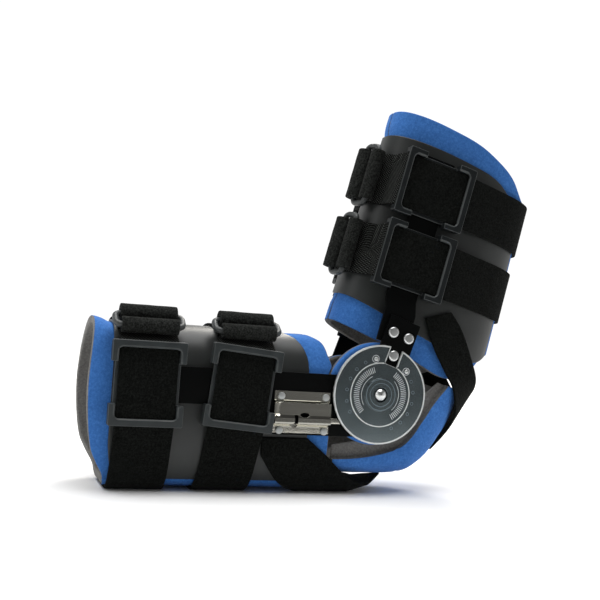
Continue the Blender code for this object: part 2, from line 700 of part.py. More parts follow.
def lock_bracket(parent):
    """Bent sheet: two riveted flanges, a flat raised channel and, below it, the rounded ridge that the bolt runs in."""
    base = LOWER_PLATE_OUT + CLEAR
    outer = (
        (base + SHEET, -0.0006), (base + SHEET, -0.0074), (base + 0.0048, -0.0086), (base + 0.0048, -0.0170),
        (base + 0.0062, -0.0188), (base + 0.0062, -0.0228), (base + 0.0040, -0.0250), (base + SHEET, -0.0256),
        (base + SHEET, -0.0300),
    )
    inner = (
        (base, -0.0300), (base, -0.0246), (base + 0.0030, -0.0240), (base + 0.0049, -0.0224),
        (base + 0.0049, -0.0194), (base + 0.0036, -0.0174), (base + 0.0036, -0.0096), (base, -0.0084),
        (base, -0.0006),
    )
    bm = bmesh.new()
    rings = []
    for x in (BRACKET_LEFT, BRACKET_RIGHT):
        rings.append([bm.verts.new((x, -y, z)) for y, z in outer + inner])
    count = len(outer + inner)
    for i in range(count):
        bm.faces.new([rings[0][i], rings[0][(i + 1) % count], rings[1][(i + 1) % count], rings[1][i]])
    for face in rings:
        bm.faces.new(face)
    bracket = object_of("lock_bracket", mesh_of("lock_bracket", bm), parent, "steel")
    cut_box(bracket, (-0.0644, -0.0520, -0.0252), (-0.0616, -base - 0.0020, -0.0174))
    cut_round(bracket, -0.0630, -0.0237, 0.0026, low=-0.0520, high=-base - 0.0015)
    cut_box(bracket, (-0.0590, -0.0520, -0.0186), (-0.0540, -base - 0.0028, -0.0164))
    for i, (x, z) in enumerate(LOCK_RIVETS):
        rivet(f"lock_rivet_{i + 1}", parent, x, z, base + SHEET + CLEAR, LOCK_RIVET_RADIUS, LOCK_RIVET_HEIGHT)


def lock_bolt(parent):
    """The bolt in the ridge, its tip slanted to follow the dial's rim."""
    outline = [
        (BOLT_BACK, BOLT_LOW),
        (BOLT_TIP, BOLT_LOW),
        (BOLT_TIP - BOLT_SLANT, BOLT_HIGH),
        (BOLT_BACK, BOLT_HIGH),
    ]
    plate("lock_bolt", outline, BOLT_IN, BOLT_OUT, parent, "steel")


def elbow_pad(parent):
    """A boat-shaped foam sheet behind the elbow, each section half an ellipse, with a flap above each rim."""
    def face_point(row, turn):
        middle_x, middle_z, rim_x, rim_z = smooth_row(PAD_ROWS, row)
        lift = 1.0 - math.cos(turn)
        x = middle_x + (rim_x - middle_x) * lift
        return Vector((x, PAD_HALF * math.sin(turn), middle_z + (rim_z - middle_z) * lift))

    bm = bmesh.new()
    grid = []
    steps_along = len(PAD_ROWS) - 1
    for i in range(PAD_STEPS + 1):
        turn = math.radians(-90.0 + 180.0 * i / PAD_STEPS)
        column = []
        for j in range(steps_along + 1):
            here = face_point(j, turn)
            near = min(max(j, 0.05), steps_along - 0.05)
            inside = min(max(turn, -1.5), 1.5)
            along = face_point(near + 0.05, inside) - face_point(near - 0.05, inside)
            across = face_point(near, inside + 0.02) - face_point(near, inside - 0.02)
            normal = along.cross(across).normalized()
            column.append([bm.verts.new(here), bm.verts.new(here - normal * PAD_WALL)])
        grid.append(column)
    for side in (-1, 1):
        for above in (False, True):
            column = []
            for j, height in enumerate(FLAP_HEIGHTS):
                middle_x, middle_z, rim_x, rim_z = PAD_ROWS[j]
                rim = Vector((rim_x, 0.0, rim_z))
                up = (rim - Vector((middle_x, 0.0, middle_z))).normalized()
                foot = rim + up * (height if above else FLAP_FROM)
                pair = [foot + Vector((0.0, side * out, 0.0)) for out in (FLAP_OUT, FLAP_IN)]
                column.append([bm.verts.new(point) for point in pair])
            if side < 0:
                grid.insert(0, column)
            else:
                grid.append(column)
    skin(bm, grid)
    return object_of("elbow_pad", mesh_of("elbow_pad", bm, 60.0), parent, "foam")


def sling_wall(name, rows_near, parent, steps):
    """A strap between two edges, given from the near side to the middle and mirrored to the far side."""
    edges = []
    for i in range(steps + 1):
        row = smooth_row([(*a, *b) for a, b in rows_near], i * (len(rows_near) - 1) / steps)
        edges.append((Vector(row[:3]), Vector(row[3:])))
    flip = Vector((1.0, -1.0, 1.0))
    edges += [(a * flip, b * flip) for a, b in reversed(edges[:-1])]
    bm = bmesh.new()
    grid = []
    for i, (a, b) in enumerate(edges):
        before, after = edges[max(i - 1, 0)], edges[min(i + 1, len(edges) - 1)]
        column = []
        for part in (0.0, 0.5, 1.0):
            here = a.lerp(b, part)
            along = after[0].lerp(after[1], part) - before[0].lerp(before[1], part)
            normal = along.cross(b - a).normalized()
            column.append([bm.verts.new(here), bm.verts.new(here + normal * STRAP_WALL)])
        grid.append(column)
    skin(bm, grid)
    return object_of(name, mesh_of(name, bm, 60.0), parent, "strap")


def lower_sling(cuff):
    """A strap from the forearm shell's near side, under the elbow pad, to the far side, on the cuff's outline."""
    bm = bmesh.new()
    grid = []
    for i in range(SLING_STEPS + 1):
        angle = -SLING_TOP_DEG - (180.0 - 2 * SLING_TOP_DEG) * i / SLING_STEPS
        low, high = read_row(LOWER_SLING_ROWS, abs(angle + 90.0))
        column = []
        for part in (0.0, 0.33, 0.67, 1.0):
            x = low + (high - low) * part
            pair = []
            for out in (CLEAR, CLEAR + STRAP_WALL):
                y, z = cuff.outline(0.1, angle, out)
                rise = max(0.0, x - SLING_RISE_FROM) * SLING_RISE
                pair.append(bm.verts.new((x, y, z + rise)))
            column.append(pair)
        grid.append(column)
    skin(bm, grid)
    return object_of("lower_sling", mesh_of("lower_sling", bm, 60.0), cuff.parent, "strap")


def upper_sling(elbow):
    return sling_wall("upper_sling", UPPER_SLING_ROWS, elbow, 10)


def main():
    clear_scene()
    elbow = empty("elbow")
    upper_arm = empty("upper_arm_axis", BEND_DEG)
    tongue_axis = empty("tongue_axis", TONGUE_DEG)
    forearm_place = (FOREARM_FLATTENED, FOREARM_FRAME_Z, FOREARM_RING_DROP, FOREARM_BACK_DEG)
    forearm_cuff = Cuff(elbow, -1, FOREARM_SECTIONS, FOREARM_SQUARENESS, *forearm_place)
    upper_place = (UPPER_FLATTENED, UPPER_FRAME_Z, UPPER_RING_DROP, UPPER_BACK_DEG)
    upper_cuff = Cuff(upper_arm, 1, UPPER_SECTIONS, UPPER_SQUARENESS, *upper_place)
    liner(forearm_cuff, "forearm_liner", FOREARM_LINER_START, FOREARM_LINER_END)
    shell(forearm_cuff, "forearm_shell_near", 1, FOREARM_SHELL_START, FOREARM_SHELL_END)
    shell(forearm_cuff, "forearm_shell_far", -1, FOREARM_SHELL_START, FOREARM_SHELL_END)
    liner(upper_cuff, "upper_liner", UPPER_LINER_START, UPPER_LINER_END)
    shell(upper_cuff, "upper_shell_near", 1, UPPER_SHELL_START, UPPER_SHELL_END)
    shell(upper_cuff, "upper_shell_far", -1, UPPER_SHELL_START, UPPER_SHELL_END)
    dress(forearm_cuff, FOREARM_STRAPS)
    dress(upper_cuff, UPPER_STRAPS)
    forearm_bar(elbow)
    hinge_pin(elbow)
    condyle_pad(elbow)
    lock_bracket(elbow)
    lock_bolt(elbow)
    elbow_pad(elbow)
    lower_sling(forearm_cuff)
    upper_plate(tongue_axis)
    upper_bar(upper_arm, upper_cuff)
    dial(tongue_axis)
    for word, along, across in (("notch", 0.0300, 0.0), ("front", 0.0460, 0.0065), ("back", 0.0460, -0.0065)):
        near = rivet(f"{word}_rivet_near", tongue_axis, along, across, UPPER_PLATE_OUT + CLEAR, 0.0041, 0.0016)
        mirrored(near, f"{word}_rivet_far")
    for word, turn_deg in (("front", 29.5), ("back", -29.5)):
        x = 0.73 * DIAL_RADIUS * math.cos(math.radians(turn_deg))
        z = 0.73 * DIAL_RADIUS * math.sin(math.radians(turn_deg))
        rivet(f"{word}_stop_pin", tongue_axis, x, z, DIAL_OUT + CLEAR, 0.0016, 0.0012)
    upper_sling(elbow)


main()
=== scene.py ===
"""The looks of a hinged elbow brace, piece by piece in the order in which it is put together. Metres, Z up."""

import json
import math

import bmesh
import bpy
from mathutils import Matrix, Vector, noise

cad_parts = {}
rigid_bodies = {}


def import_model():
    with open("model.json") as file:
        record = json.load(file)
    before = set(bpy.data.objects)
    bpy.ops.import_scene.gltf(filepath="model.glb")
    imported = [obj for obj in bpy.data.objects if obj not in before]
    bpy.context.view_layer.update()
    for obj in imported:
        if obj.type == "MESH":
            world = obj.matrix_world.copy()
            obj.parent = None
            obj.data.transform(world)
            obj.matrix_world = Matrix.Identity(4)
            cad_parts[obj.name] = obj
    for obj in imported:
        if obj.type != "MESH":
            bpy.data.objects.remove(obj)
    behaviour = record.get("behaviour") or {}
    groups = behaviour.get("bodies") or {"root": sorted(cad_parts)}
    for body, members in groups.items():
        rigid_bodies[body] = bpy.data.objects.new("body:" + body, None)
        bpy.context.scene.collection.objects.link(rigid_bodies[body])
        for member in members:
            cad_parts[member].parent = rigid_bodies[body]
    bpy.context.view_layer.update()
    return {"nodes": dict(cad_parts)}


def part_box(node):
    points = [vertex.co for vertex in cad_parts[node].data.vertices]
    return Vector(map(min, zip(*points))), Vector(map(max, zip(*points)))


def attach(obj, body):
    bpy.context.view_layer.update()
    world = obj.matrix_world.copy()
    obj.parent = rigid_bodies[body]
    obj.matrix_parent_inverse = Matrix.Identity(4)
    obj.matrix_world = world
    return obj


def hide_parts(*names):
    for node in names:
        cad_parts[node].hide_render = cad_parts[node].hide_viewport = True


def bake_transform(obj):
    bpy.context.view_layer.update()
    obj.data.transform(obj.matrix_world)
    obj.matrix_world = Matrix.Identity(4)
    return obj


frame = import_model()
for obj in bpy.data.objects:
    obj.select_set(False)
bpy.context.view_layer.objects.active = None


# The forearm cuff's two half shells. Each is a sheet of dark grey polyethylene, 2 mm thick, cut flat and heated to
# the shape of the limb. Gaps at the front and the back let the straps draw them closed.
ELBOW = Vector((0.0367, 0.0, 0.0750))
FOREARM_CUFF = {
    "from": (0.034, 0.0405, -0.0727, 0.0377), "to": (0.205, 0.0405, -0.0727, 0.0377),
    "square": 3.0, "pressed": 0.0020, "ring_drop": 0.0070, "turn": None, "back": -50.0,
}
CLEAR, SHELL_WALL = 0.0003, 0.0020
# The near half comes further round to the front than the far one
NEAR_FRONT_DEG, FAR_FRONT_DEG = 100.0, 60.0
FOREARM_SHELL_START = ((-0.0727, 0.050), (0.0126, 0.0521), (0.026, 0.0539), (0.0364, 0.0605), (0.0405, 0.069))
FOREARM_SHELL_END = ((-0.0727, 0.184), (-0.060, 0.188), (-0.040, 0.191), (0.0405, 0.191))
SHELL_GREY, SHELL_PALE = "#212322", "#2b2e2d"


def srgb(hex_colour):
    """A hex colour turned to linear, with alpha 1."""
    parts = [int(hex_colour[i : i + 2], 16) / 255 for i in (1, 3, 5)]
    return [c / 12.92 if c <= 0.04045 else ((c + 0.055) / 1.055) ** 2.4 for c in parts] + [1.0]


def node(material, kind, links=(), **settings):
    """Adds a node to a material or world. Settings fill its inputs or, with own_ before them, its own properties, and
    links join (input, node, output)."""
    made = material.node_tree.nodes.new(kind)
    for key, value in settings.items():
        if key.startswith("own_"):
            setattr(made, key.removeprefix("own_"), value)
        else:
            made.inputs[key.replace("_", " ").title()].default_value = value
    for into, source, out in links:
        material.node_tree.links.new(source.outputs[out], made.inputs[into])
    return made


def surface(name, **settings):
    """A new material and its Principled shader with these values."""
    made = bpy.data.materials.new(name)
    made.use_nodes = True
    shader = made.node_tree.nodes["Principled BSDF"]
    for key, value in settings.items():
        shader.inputs[key.replace("_", " ").title().replace("Ior", "IOR")].default_value = value
    if "base_color" in settings:
        made.diffuse_color = settings["base_color"]
    return made, shader


def moulded_sheet(name, dark, pale):
    """Polyethylene sheet, rolled with a fine grain: a broad, soft gloss with slight clouding from handling."""
    made, shader = surface(name, roughness=0.4, specular_ior_level=0.42, ior=1.5)
    link = made.node_tree.links.new
    place = node(made, "ShaderNodeTexCoord")
    # The grain is 0.4 mm, and is drawn at 0.7 mm so that it shows
    grain = node(made, "ShaderNodeTexNoise", [("Vector", place, "Object")], scale=1400.0, detail=2.0)
    cloud = node(made, "ShaderNodeTexNoise", [("Vector", place, "Object")], scale=38.0, detail=4.0)
    ramp = node(made, "ShaderNodeValToRGB", [("Fac", cloud, "Fac")])
    ramp.color_ramp.elements[0].color, ramp.color_ramp.elements[1].color = srgb(dark), srgb(pale)
    ramp.color_ramp.elements[0].position, ramp.color_ramp.elements[1].position = 0.3, 0.75
    gloss = node(made, "ShaderNodeMapRange", [("Value", cloud, "Fac")], to_min=0.34, to_max=0.48)
    bump = node(made, "ShaderNodeBump", [("Height", grain, "Fac")], strength=0.16, distance=0.0002)
    link(ramp.outputs["Color"], shader.inputs["Base Color"])
    link(gloss.outputs["Result"], shader.inputs["Roughness"])
    link(bump.outputs["Normal"], shader.inputs["Normal"])
    return made


def smooth_at(rows, at):
    """A smooth curve through a table's rows at a place, with no overshoot at its ends."""
    rows = sorted(rows)
    at = min(max(at, rows[0][0]), rows[-1][0])
    i = max(k for k in range(len(rows) - 1) if rows[k][0] <= at)
    t = (at - rows[i][0]) / (rows[i + 1][0] - rows[i][0])
    around = [rows[max(0, min(len(rows) - 1, i + k))] for k in (-1, 0, 1, 2)]
    width = rows[i + 1][0] - rows[i][0]
    slopes = []
    for before, after in ((around[0], around[2]), (around[1], around[3])):
        slopes.append((after[1] - before[1]) / (after[0] - before[0]) * width)
    b, c = around[1][1], around[2][1]
    cubic = (2 * t**3 - 3 * t**2 + 1) * b + (t**3 - 2 * t**2 + t) * slopes[0]
    return cubic + (3 * t**2 - 2 * t**3) * c + (t**3 - t**2) * slopes[1]


def eased(part):
    part = min(1.0, max(0.0, part))
    return part * part * (3.0 - 2.0 * part)


def section(cuff, along):
    """Front, back and half width of a cuff's shell at a distance from the hinge."""
    part = (along - cuff["from"][0]) / (cuff["to"][0] - cuff["from"][0])
    return [a + (b - a) * part for a, b in zip(cuff["from"][1:], cuff["to"][1:])]


def outline(cuff, along, angle, outward):
    """(y, z) on the cuff's outline: 0 degrees is the outer side and 90 is the inside of the elbow."""
    front, back, half = section(cuff, along)
    rounded = back - cuff["pressed"]
    c, s = math.cos(math.radians(angle)), math.sin(math.radians(angle))
    reach = (abs(c) ** cuff["square"] + abs(s) ** cuff["square"]) ** (-1.0 / cuff["square"])
    z = (front + rounded) / 2 + ((front - rounded) / 2 + outward) * reach * s
    return -(half + outward) * reach * c, max(z, back - outward)


def placed(cuff, along, y, z):
    """A point of the cuff in the brace's frame."""
    if cuff["turn"] is None:
        return Vector((ELBOW.x - along, y, ELBOW.z + z))
    c, s = math.cos(cuff["turn"]), math.sin(cuff["turn"])
    return Vector((ELBOW.x + along * c - z * s, y, ELBOW.z + along * s + z * c))


def shown(name, data):
    """A new object in the scene, with this mesh, curve, lamp or camera."""
    made = bpy.data.objects.new(name, data)
    bpy.context.scene.collection.objects.link(made)
    return made


def piece(name, bm, *materials):
    """An object from a bmesh, with its normals outwards."""
    bmesh.ops.remove_doubles(bm, verts=bm.verts, dist=1e-6)
    bmesh.ops.recalc_face_normals(bm, faces=bm.faces)
    mesh = bpy.data.meshes.new(name)
    bm.to_mesh(mesh)
    bm.free()
    for material in materials:
        mesh.materials.append(material)
    made = shown(name, mesh)
    smooth(made, 40.0)
    return made


def only(made):
    """Selects this object alone, for an operator."""
    for other in bpy.context.selected_objects:
        other.select_set(False)
    made.select_set(True)
    bpy.context.view_layer.objects.active = made


def smooth(made, degrees):
    only(made)
    bpy.ops.object.shade_smooth_by_angle(angle=math.radians(degrees))


def modified(made, kind, **settings):
    """Adds a modifier and applies it."""
    modifier = made.modifiers.new(kind.lower(), kind)
    for key, value in settings.items():
        setattr(modifier, key, value)
    only(made)
    bpy.ops.object.modifier_apply(modifier=modifier.name)
    return made


def rounded(made, width, segments=2, angle_deg=35.0):
    """Rounds the sharp edges and shades the piece smooth again."""
    modified(
        made, "BEVEL", width=width, segments=segments, limit_method="ANGLE",
        angle_limit=math.radians(angle_deg), harden_normals=False,
    )
    smooth(made, 40.0)
    modified(made, "WEIGHTED_NORMAL", keep_sharp=True, weight=100)
    return made


def wall(name, columns, *materials):
    """A wall of some thickness from columns of (inner, outer) points, its outside with the first material."""
    bm = bmesh.new()
    uv = bm.loops.layers.uv.new("cloth")
    grid = [[[bm.verts.new(p) for p in pair] for pair in column] for column in columns]
    across, along = len(grid) - 1, len(grid[0]) - 1
    where = {}
    run = 0.0
    for i, column in enumerate(grid):
        if i:
            middle = along // 2
            run += (columns[i][middle][1] - columns[i - 1][middle][1]).length
        step = 0.0
        for j, pair in enumerate(column):
            if j:
                step += (columns[i][j][1] - columns[i][j - 1][1]).length
            for vert in pair:
                where[vert] = (run, step)

    def face(verts, index):
        made = bm.faces.new(verts)
        made.material_index = index
        for loop in made.loops:
            loop[uv].uv = where[loop.vert]

    last = len(materials) - 1
    for layer in (0, 1):
        for i in range(across):
            for j in range(along):
                corners = [grid[a][b][layer] for a, b in ((i, j), (i + 1, j), (i + 1, j + 1), (i, j + 1))]
                face(corners, last if layer == 0 else 0)
    for j in (0, along):
        for i in range(across):
            face([grid[i][j][0], grid[i + 1][j][0], grid[i + 1][j][1], grid[i][j][1]], last)
    for i in (0, across):
        for j in range(along):
            face([grid[i][j][0], grid[i][j + 1][0], grid[i][j + 1][1], grid[i][j][1]], last)
    return piece(name, bm, *materials)


def shell_columns(cuff, side, starts, ends):
    """One half shell, from the gap at the back to the gap at the front."""
    columns = []
    front = NEAR_FRONT_DEG if side > 0 else FAR_FRONT_DEG
    for i in range(73):
        angle = cuff["back"] + (front - cuff["back"]) * i / 72
        angle = angle if side > 0 else 180.0 - angle
        _, place = outline(cuff, cuff["from"][0], angle, 0.0)
        begin, end = smooth_at(starts, place), smooth_at(ends, place)
        column = []
        for j in range(21):
            along = begin + (end - begin) * j / 20
            pair = [placed(cuff, along, *outline(cuff, along, angle, out)) for out in (-SHELL_WALL, 0.0)]
            column.append(pair)
        columns.append(column)
    return columns


polyethylene = moulded_sheet("polyethylene_sheet", SHELL_GREY, SHELL_PALE)
for word, side in (("near", 1), ("far", -1)):
    shape = shell_columns(FOREARM_CUFF, side, FOREARM_SHELL_START, FOREARM_SHELL_END)
    made = wall(f"forearm_shell_{word}_sheet", shape, polyethylene)
    rounded(made, 0.0005)
    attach(made, "forearm")
    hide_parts(f"forearm_shell_{word}")


# The forearm liner. Soft polyether foam, 5 mm thick, with blue brushed loop cloth laminated outside and grey inside.
# It stands out past the shell at both ends, where its cut edge shows as a thin grey line.
FOREARM_LINER_START = ((-0.0727, 0.034), (0.0191, 0.034), (0.026, 0.0362), (0.0358, 0.0395), (0.0405, 0.046))
FOREARM_LINER_END = (
    (-0.0727, 0.191), (-0.0652, 0.193), (-0.056, 0.198), (-0.046, 0.2025), (-0.0233, 0.206), (0.002, 0.207),
    (0.0405, 0.204),
)
FOAM_WALL, SLIT_HALF = 0.0050, 0.0005
# How far the foam bulges into a gap between the shells, springs out past their ends, and waves there
GAP_BULGE, END_SPRING, EDGE_WAVE = 0.0019, 0.0010, 0.0004
PAD_RADIUS, FAR_PAD_RADIUS = 0.0375, 0.0245
BLUE, BLUE_DEEP, BLUE_PALE = "#3c70b7", "#3463a6", "#4980c6"
LINING, LINING_DEEP, LINING_PALE = "#72716f", "#5f5e5c", "#848381"


def brushed_cloth(name, deep, middle, pale, fibre_mm=0.9):
    """Brushed nylon loop cloth: matt with a soft sheen, its short fibres making a fine mottle."""
    made, shader = surface(name, roughness=0.92, specular_ior_level=0.08, sheen_weight=0.06, sheen_roughness=0.5)
    link = made.node_tree.links.new
    place = node(made, "ShaderNodeTexCoord")
    fibre = node(
        made, "ShaderNodeTexNoise", [("Vector", place, "Object")],
        scale=1000.0 / fibre_mm, detail=3.0, roughness=0.65,
    )
    tuft = node(made, "ShaderNodeTexNoise", [("Vector", place, "Object")], scale=520.0, detail=3.0)
    mixed = node(made, "ShaderNodeMath", [(0, fibre, "Fac"), (1, tuft, "Fac")], own_operation="ADD")
    halved = node(made, "ShaderNodeMath", [(0, mixed, 0)], own_operation="MULTIPLY")
    halved.inputs[1].default_value = 0.5
    ramp = node(made, "ShaderNodeValToRGB", [("Fac", halved, 0)])
    ramp.color_ramp.elements.new(0.5)
    for stop, position, colour in zip(ramp.color_ramp.elements, (0.34, 0.5, 0.68), (deep, middle, pale)):
        stop.position, stop.color = position, srgb(colour)
    bump = node(made, "ShaderNodeBump", [("Height", halved, 0)], strength=0.5, distance=0.0005)
    link(ramp.outputs["Color"], shader.inputs["Base Color"])
    link(bump.outputs["Normal"], shader.inputs["Normal"])
    return made


def liner_columns(cuff, starts, ends, shell_starts, shell_ends, flare):
    """Foam columns. Foam bulges into the gaps between the shells, springs out past their ends and flares at the
    far end's front."""
    slit = math.degrees(SLIT_HALF / section(cuff, cuff["from"][0])[2])
    columns = []
    for i in range(181):
        angle = 90.0 + slit + (360.0 - 2 * slit) * i / 180
        y, place = outline(cuff, cuff["from"][0], angle, 0.0)
        radius = PAD_RADIUS if y < 0.0 else FAR_PAD_RADIUS
        beside_pad = math.sqrt(max(0.0, (radius + 3 * CLEAR) ** 2 - place**2))
        begin, end = max(smooth_at(starts, place), beside_pad), smooth_at(ends, place)
        held_from, held_to = smooth_at(shell_starts, place), smooth_at(shell_ends, place)
        turned = (angle - 90.0) % 360.0
        in_back = min(turned - (90.0 - cuff["back"]), 270.0 + cuff["back"] - turned)
        bulge = GAP_BULGE * eased((in_back - 0.5) / 4.0)
        column = []
        for j in range(49):
            along = begin + (end - begin) * j / 48
            free = max(held_from - along, along - held_to)
            swell = max(bulge, END_SPRING * eased((free - 0.001) / 0.007))
            lift = flare * eased((along - held_to + 0.004) / 0.018) * max(0.0, math.sin(math.radians(angle)))
            wave = EDGE_WAVE * eased(free / 0.010) * noise.noise(Vector((angle / 26.0, along * 60.0, 2.0)))
            out = -SHELL_WALL - CLEAR + swell + wave
            pair = [outline(cuff, along, angle, out - FOAM_WALL - swell * 0.5), outline(cuff, along, angle, out)]
            column.append([placed(cuff, along, side_y, side_z + lift) for side_y, side_z in pair])
        columns.append(column)
    return columns


loop_cloth = brushed_cloth("brushed_loop_cloth_blue", BLUE_DEEP, BLUE, BLUE_PALE)
grey_lining = brushed_cloth("brushed_lining_grey", LINING_DEEP, LINING, LINING_PALE, 1.1)
shape = liner_columns(
    FOREARM_CUFF, FOREARM_LINER_START, FOREARM_LINER_END, FOREARM_SHELL_START, FOREARM_SHELL_END, 0.0035
)
made = wall("forearm_liner_foam", shape, loop_cloth, grey_lining)
rounded(made, 0.0014, 3)
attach(made, "forearm")
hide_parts("forearm_liner")


# The upper arm's half shells and liner, made of the same sheet and foam. The cuff tapers and leans back from the
# hinge, and its shells end lower at the back than at the front.
BEND = math.radians(77.0)
UPPER_CUFF = {
    "from": (0.060, 0.0397, -0.0959, 0.0320), "to": (0.185, 0.0358, -0.0936, 0.0320),
    "square": 2.6, "pressed": 0.0, "ring_drop": 0.0004, "turn": BEND, "back": -57.0,
}
UPPER_LINER_START = (
    (-0.0959, 0.0579), (-0.0880, 0.0508), (-0.0801, 0.0412), (-0.0632, 0.0283), (-0.0500, 0.0268), (-0.0251, 0.0320),
    (0.0318, 0.0425), (0.0397, 0.0447),
)
UPPER_LINER_END = (
    (-0.0959, 0.1773), (-0.0840, 0.1813), (-0.0699, 0.1916), (-0.0535, 0.1990), (-0.0311, 0.2059), (-0.0005, 0.2099),
    (0.0397, 0.2139),
)
UPPER_SHELL_START = ((-0.0959, 0.0679), (-0.0879, 0.0525), (-0.0750, 0.0446), (-0.0251, 0.0510), (0.0397, 0.0657))
UPPER_SHELL_END = ((-0.0959, 0.1642), (-0.0700, 0.1761), (-0.0550, 0.1839), (-0.0371, 0.1878), (0.0397, 0.1938))

for word, side in (("near", 1), ("far", -1)):
    shape = shell_columns(UPPER_CUFF, side, UPPER_SHELL_START, UPPER_SHELL_END)
    made = wall(f"upper_shell_{word}_sheet", shape, polyethylene)
    rounded(made, 0.0005)
    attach(made, "upper_arm")
    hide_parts(f"upper_shell_{word}")

shape = liner_columns(
    UPPER_CUFF, UPPER_LINER_START, UPPER_LINER_END, UPPER_SHELL_START, UPPER_SHELL_END, 0.0010
)
made = wall("upper_liner_foam", shape, loop_cloth, grey_lining)
rounded(made, 0.0014, 3)
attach(made, "upper_arm")
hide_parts("upper_liner")


# The flat bars. Spring steel strip, 25 mm wide, stamped and powder coated black. The long bar ends in the wide
# plate behind the dial, and the tongue on the dial is riveted to the upper bar.
BAR_BLACK = "#070808"


def powder_coat(name, colour):
    """Black powder coat: an even satin black with a faint orange peel."""
    made, shader = surface(name, base_color=srgb(colour), roughness=0.34, specular_ior_level=0.06, ior=1.5)
    place = node(made, "ShaderNodeTexCoord")
    # The coat's peel is about 1 mm from crest to crest
    peel = node(made, "ShaderNodeTexNoise", [("Vector", place, "Object")], scale=900.0, detail=1.0)
    smear = node(made, "ShaderNodeTexNoise", [("Vector", place, "Object")], scale=70.0, detail=3.0)
    gloss = node(made, "ShaderNodeMapRange", [("Value", smear, "Fac")], to_min=0.24, to_max=0.44)
    bump = node(made, "ShaderNodeBump", [("Height", peel, "Fac")], strength=0.06, distance=0.0002)
    made.node_tree.links.new(gloss.outputs["Result"], shader.inputs["Roughness"])
    made.node_tree.links.new(bump.outputs["Normal"], shader.inputs["Normal"])
    return made


def copy_of(cad_name, name, material, bevel, segments=2):
    """A copy of a CAD piece with its triangles merged and its edges rounded."""
    made = shown(name, frame["nodes"][cad_name].data.copy())
    made.data.name = name
    made.data.materials.clear()
    made.data.materials.append(material)
    bm = bmesh.new()
    bm.from_mesh(made.data)
    bmesh.ops.remove_doubles(bm, verts=bm.verts, dist=1e-6)
    bmesh.ops.dissolve_limit(
        bm, angle_limit=math.radians(2.0), verts=bm.verts, edges=bm.edges, use_dissolve_boundaries=False
    )
    bm.to_mesh(made.data)
    bm.free()
    if bevel:
        rounded(made, bevel, segments)
    else:
        smooth(made, 40.0)
    return made


coated_steel = powder_coat("powder_coated_steel_black", BAR_BLACK)
for cad_name in ("forearm_bar", "upper_bar", "upper_plate"):
    for side in ("near", "far"):
        made = copy_of(f"{cad_name}_{side}", f"{cad_name}_{side}_strip", coated_steel, 0.00035)
        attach(made, "forearm" if cad_name == "forearm_bar" else "upper_arm")
        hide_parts(f"{cad_name}_{side}")


# The round pads between the hinge and the elbow's two knobs. Discs of foam between two layers of cloth, blue towards
# the hinge and grey towards the skin; the cut rim shows the grey foam between them. The far pad is smaller.
PAD_FACE, PAD_THICK = 0.0374, 0.0075


def cloth_disc(name, side, radius):
    """A disc across the hinge axis, its edges well rounded, with its rim in three layers."""
    bpy.ops.mesh.primitive_cylinder_add(
        vertices=72, radius=radius, depth=PAD_THICK, end_fill_type="NGON",
        location=(ELBOW.x, -side * (PAD_FACE - PAD_THICK / 2), ELBOW.z), rotation=(math.radians(90.0), 0.0, 0.0),
    )
    made = bpy.context.active_object
    made.name = made.data.name = name
    bpy.ops.object.transform_apply(location=True, rotation=True, scale=True)
    made.data.materials.append(loop_cloth)
    made.data.materials.append(grey_lining)
    modified(made, "BEVEL", width=0.0026, segments=4, limit_method="ANGLE", angle_limit=math.radians(60.0))
    for face in made.data.polygons:
        out = abs(face.center.y)
        inner_face = out < PAD_FACE - PAD_THICK + 0.0012
        foam_rim = PAD_FACE - PAD_THICK + 0.0024 < out < PAD_FACE - 0.0022
        face.material_index = 1 if inner_face or foam_rim else 0
    smooth(made, 60.0)
    return made


for word, side, radius in (("near", 1, PAD_RADIUS), ("far", -1, FAR_PAD_RADIUS)):
    made = cloth_disc(f"condyle_pad_{word}_foam", side, radius)
    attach(made, "forearm")
    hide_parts(f"condyle_pad_{word}")


# The straps. Black loop-pile webbing, 40 mm wide and 2 mm thick: each goes round the cuff, under the frames'
# crossbars and over their rails, and its two ends come up through the ring at the near shoulder.
STRAPS = (
    ("wrist", FOREARM_CUFF, 0.169, 0.0, "forearm"), ("forearm", FOREARM_CUFF, 0.103, 5.0, "forearm"),
    ("upper", UPPER_CUFF, 0.1020, 0.0, "upper_arm"), ("armpit", UPPER_CUFF, 0.1574, 0.0, "upper_arm"),
)
STRAP_WIDTH, STRAP_WALL, STRAP_FLAT_HALF = 0.0400, 0.0020, 0.0262
BAR_THICK, RAIL_THICK = 0.0024, 0.0020
# Half the gap between a strap's two ends, how deep its pile is worn, and the height from which its back shows
STRAP_GAP_DEG, PILE_DEEP, KNIT_FROM = math.degrees(0.001 / 0.060), 0.00012, 0.0270
STRAP_BLACK, STRAP_FUZZ = "#080908", "#1e201e"


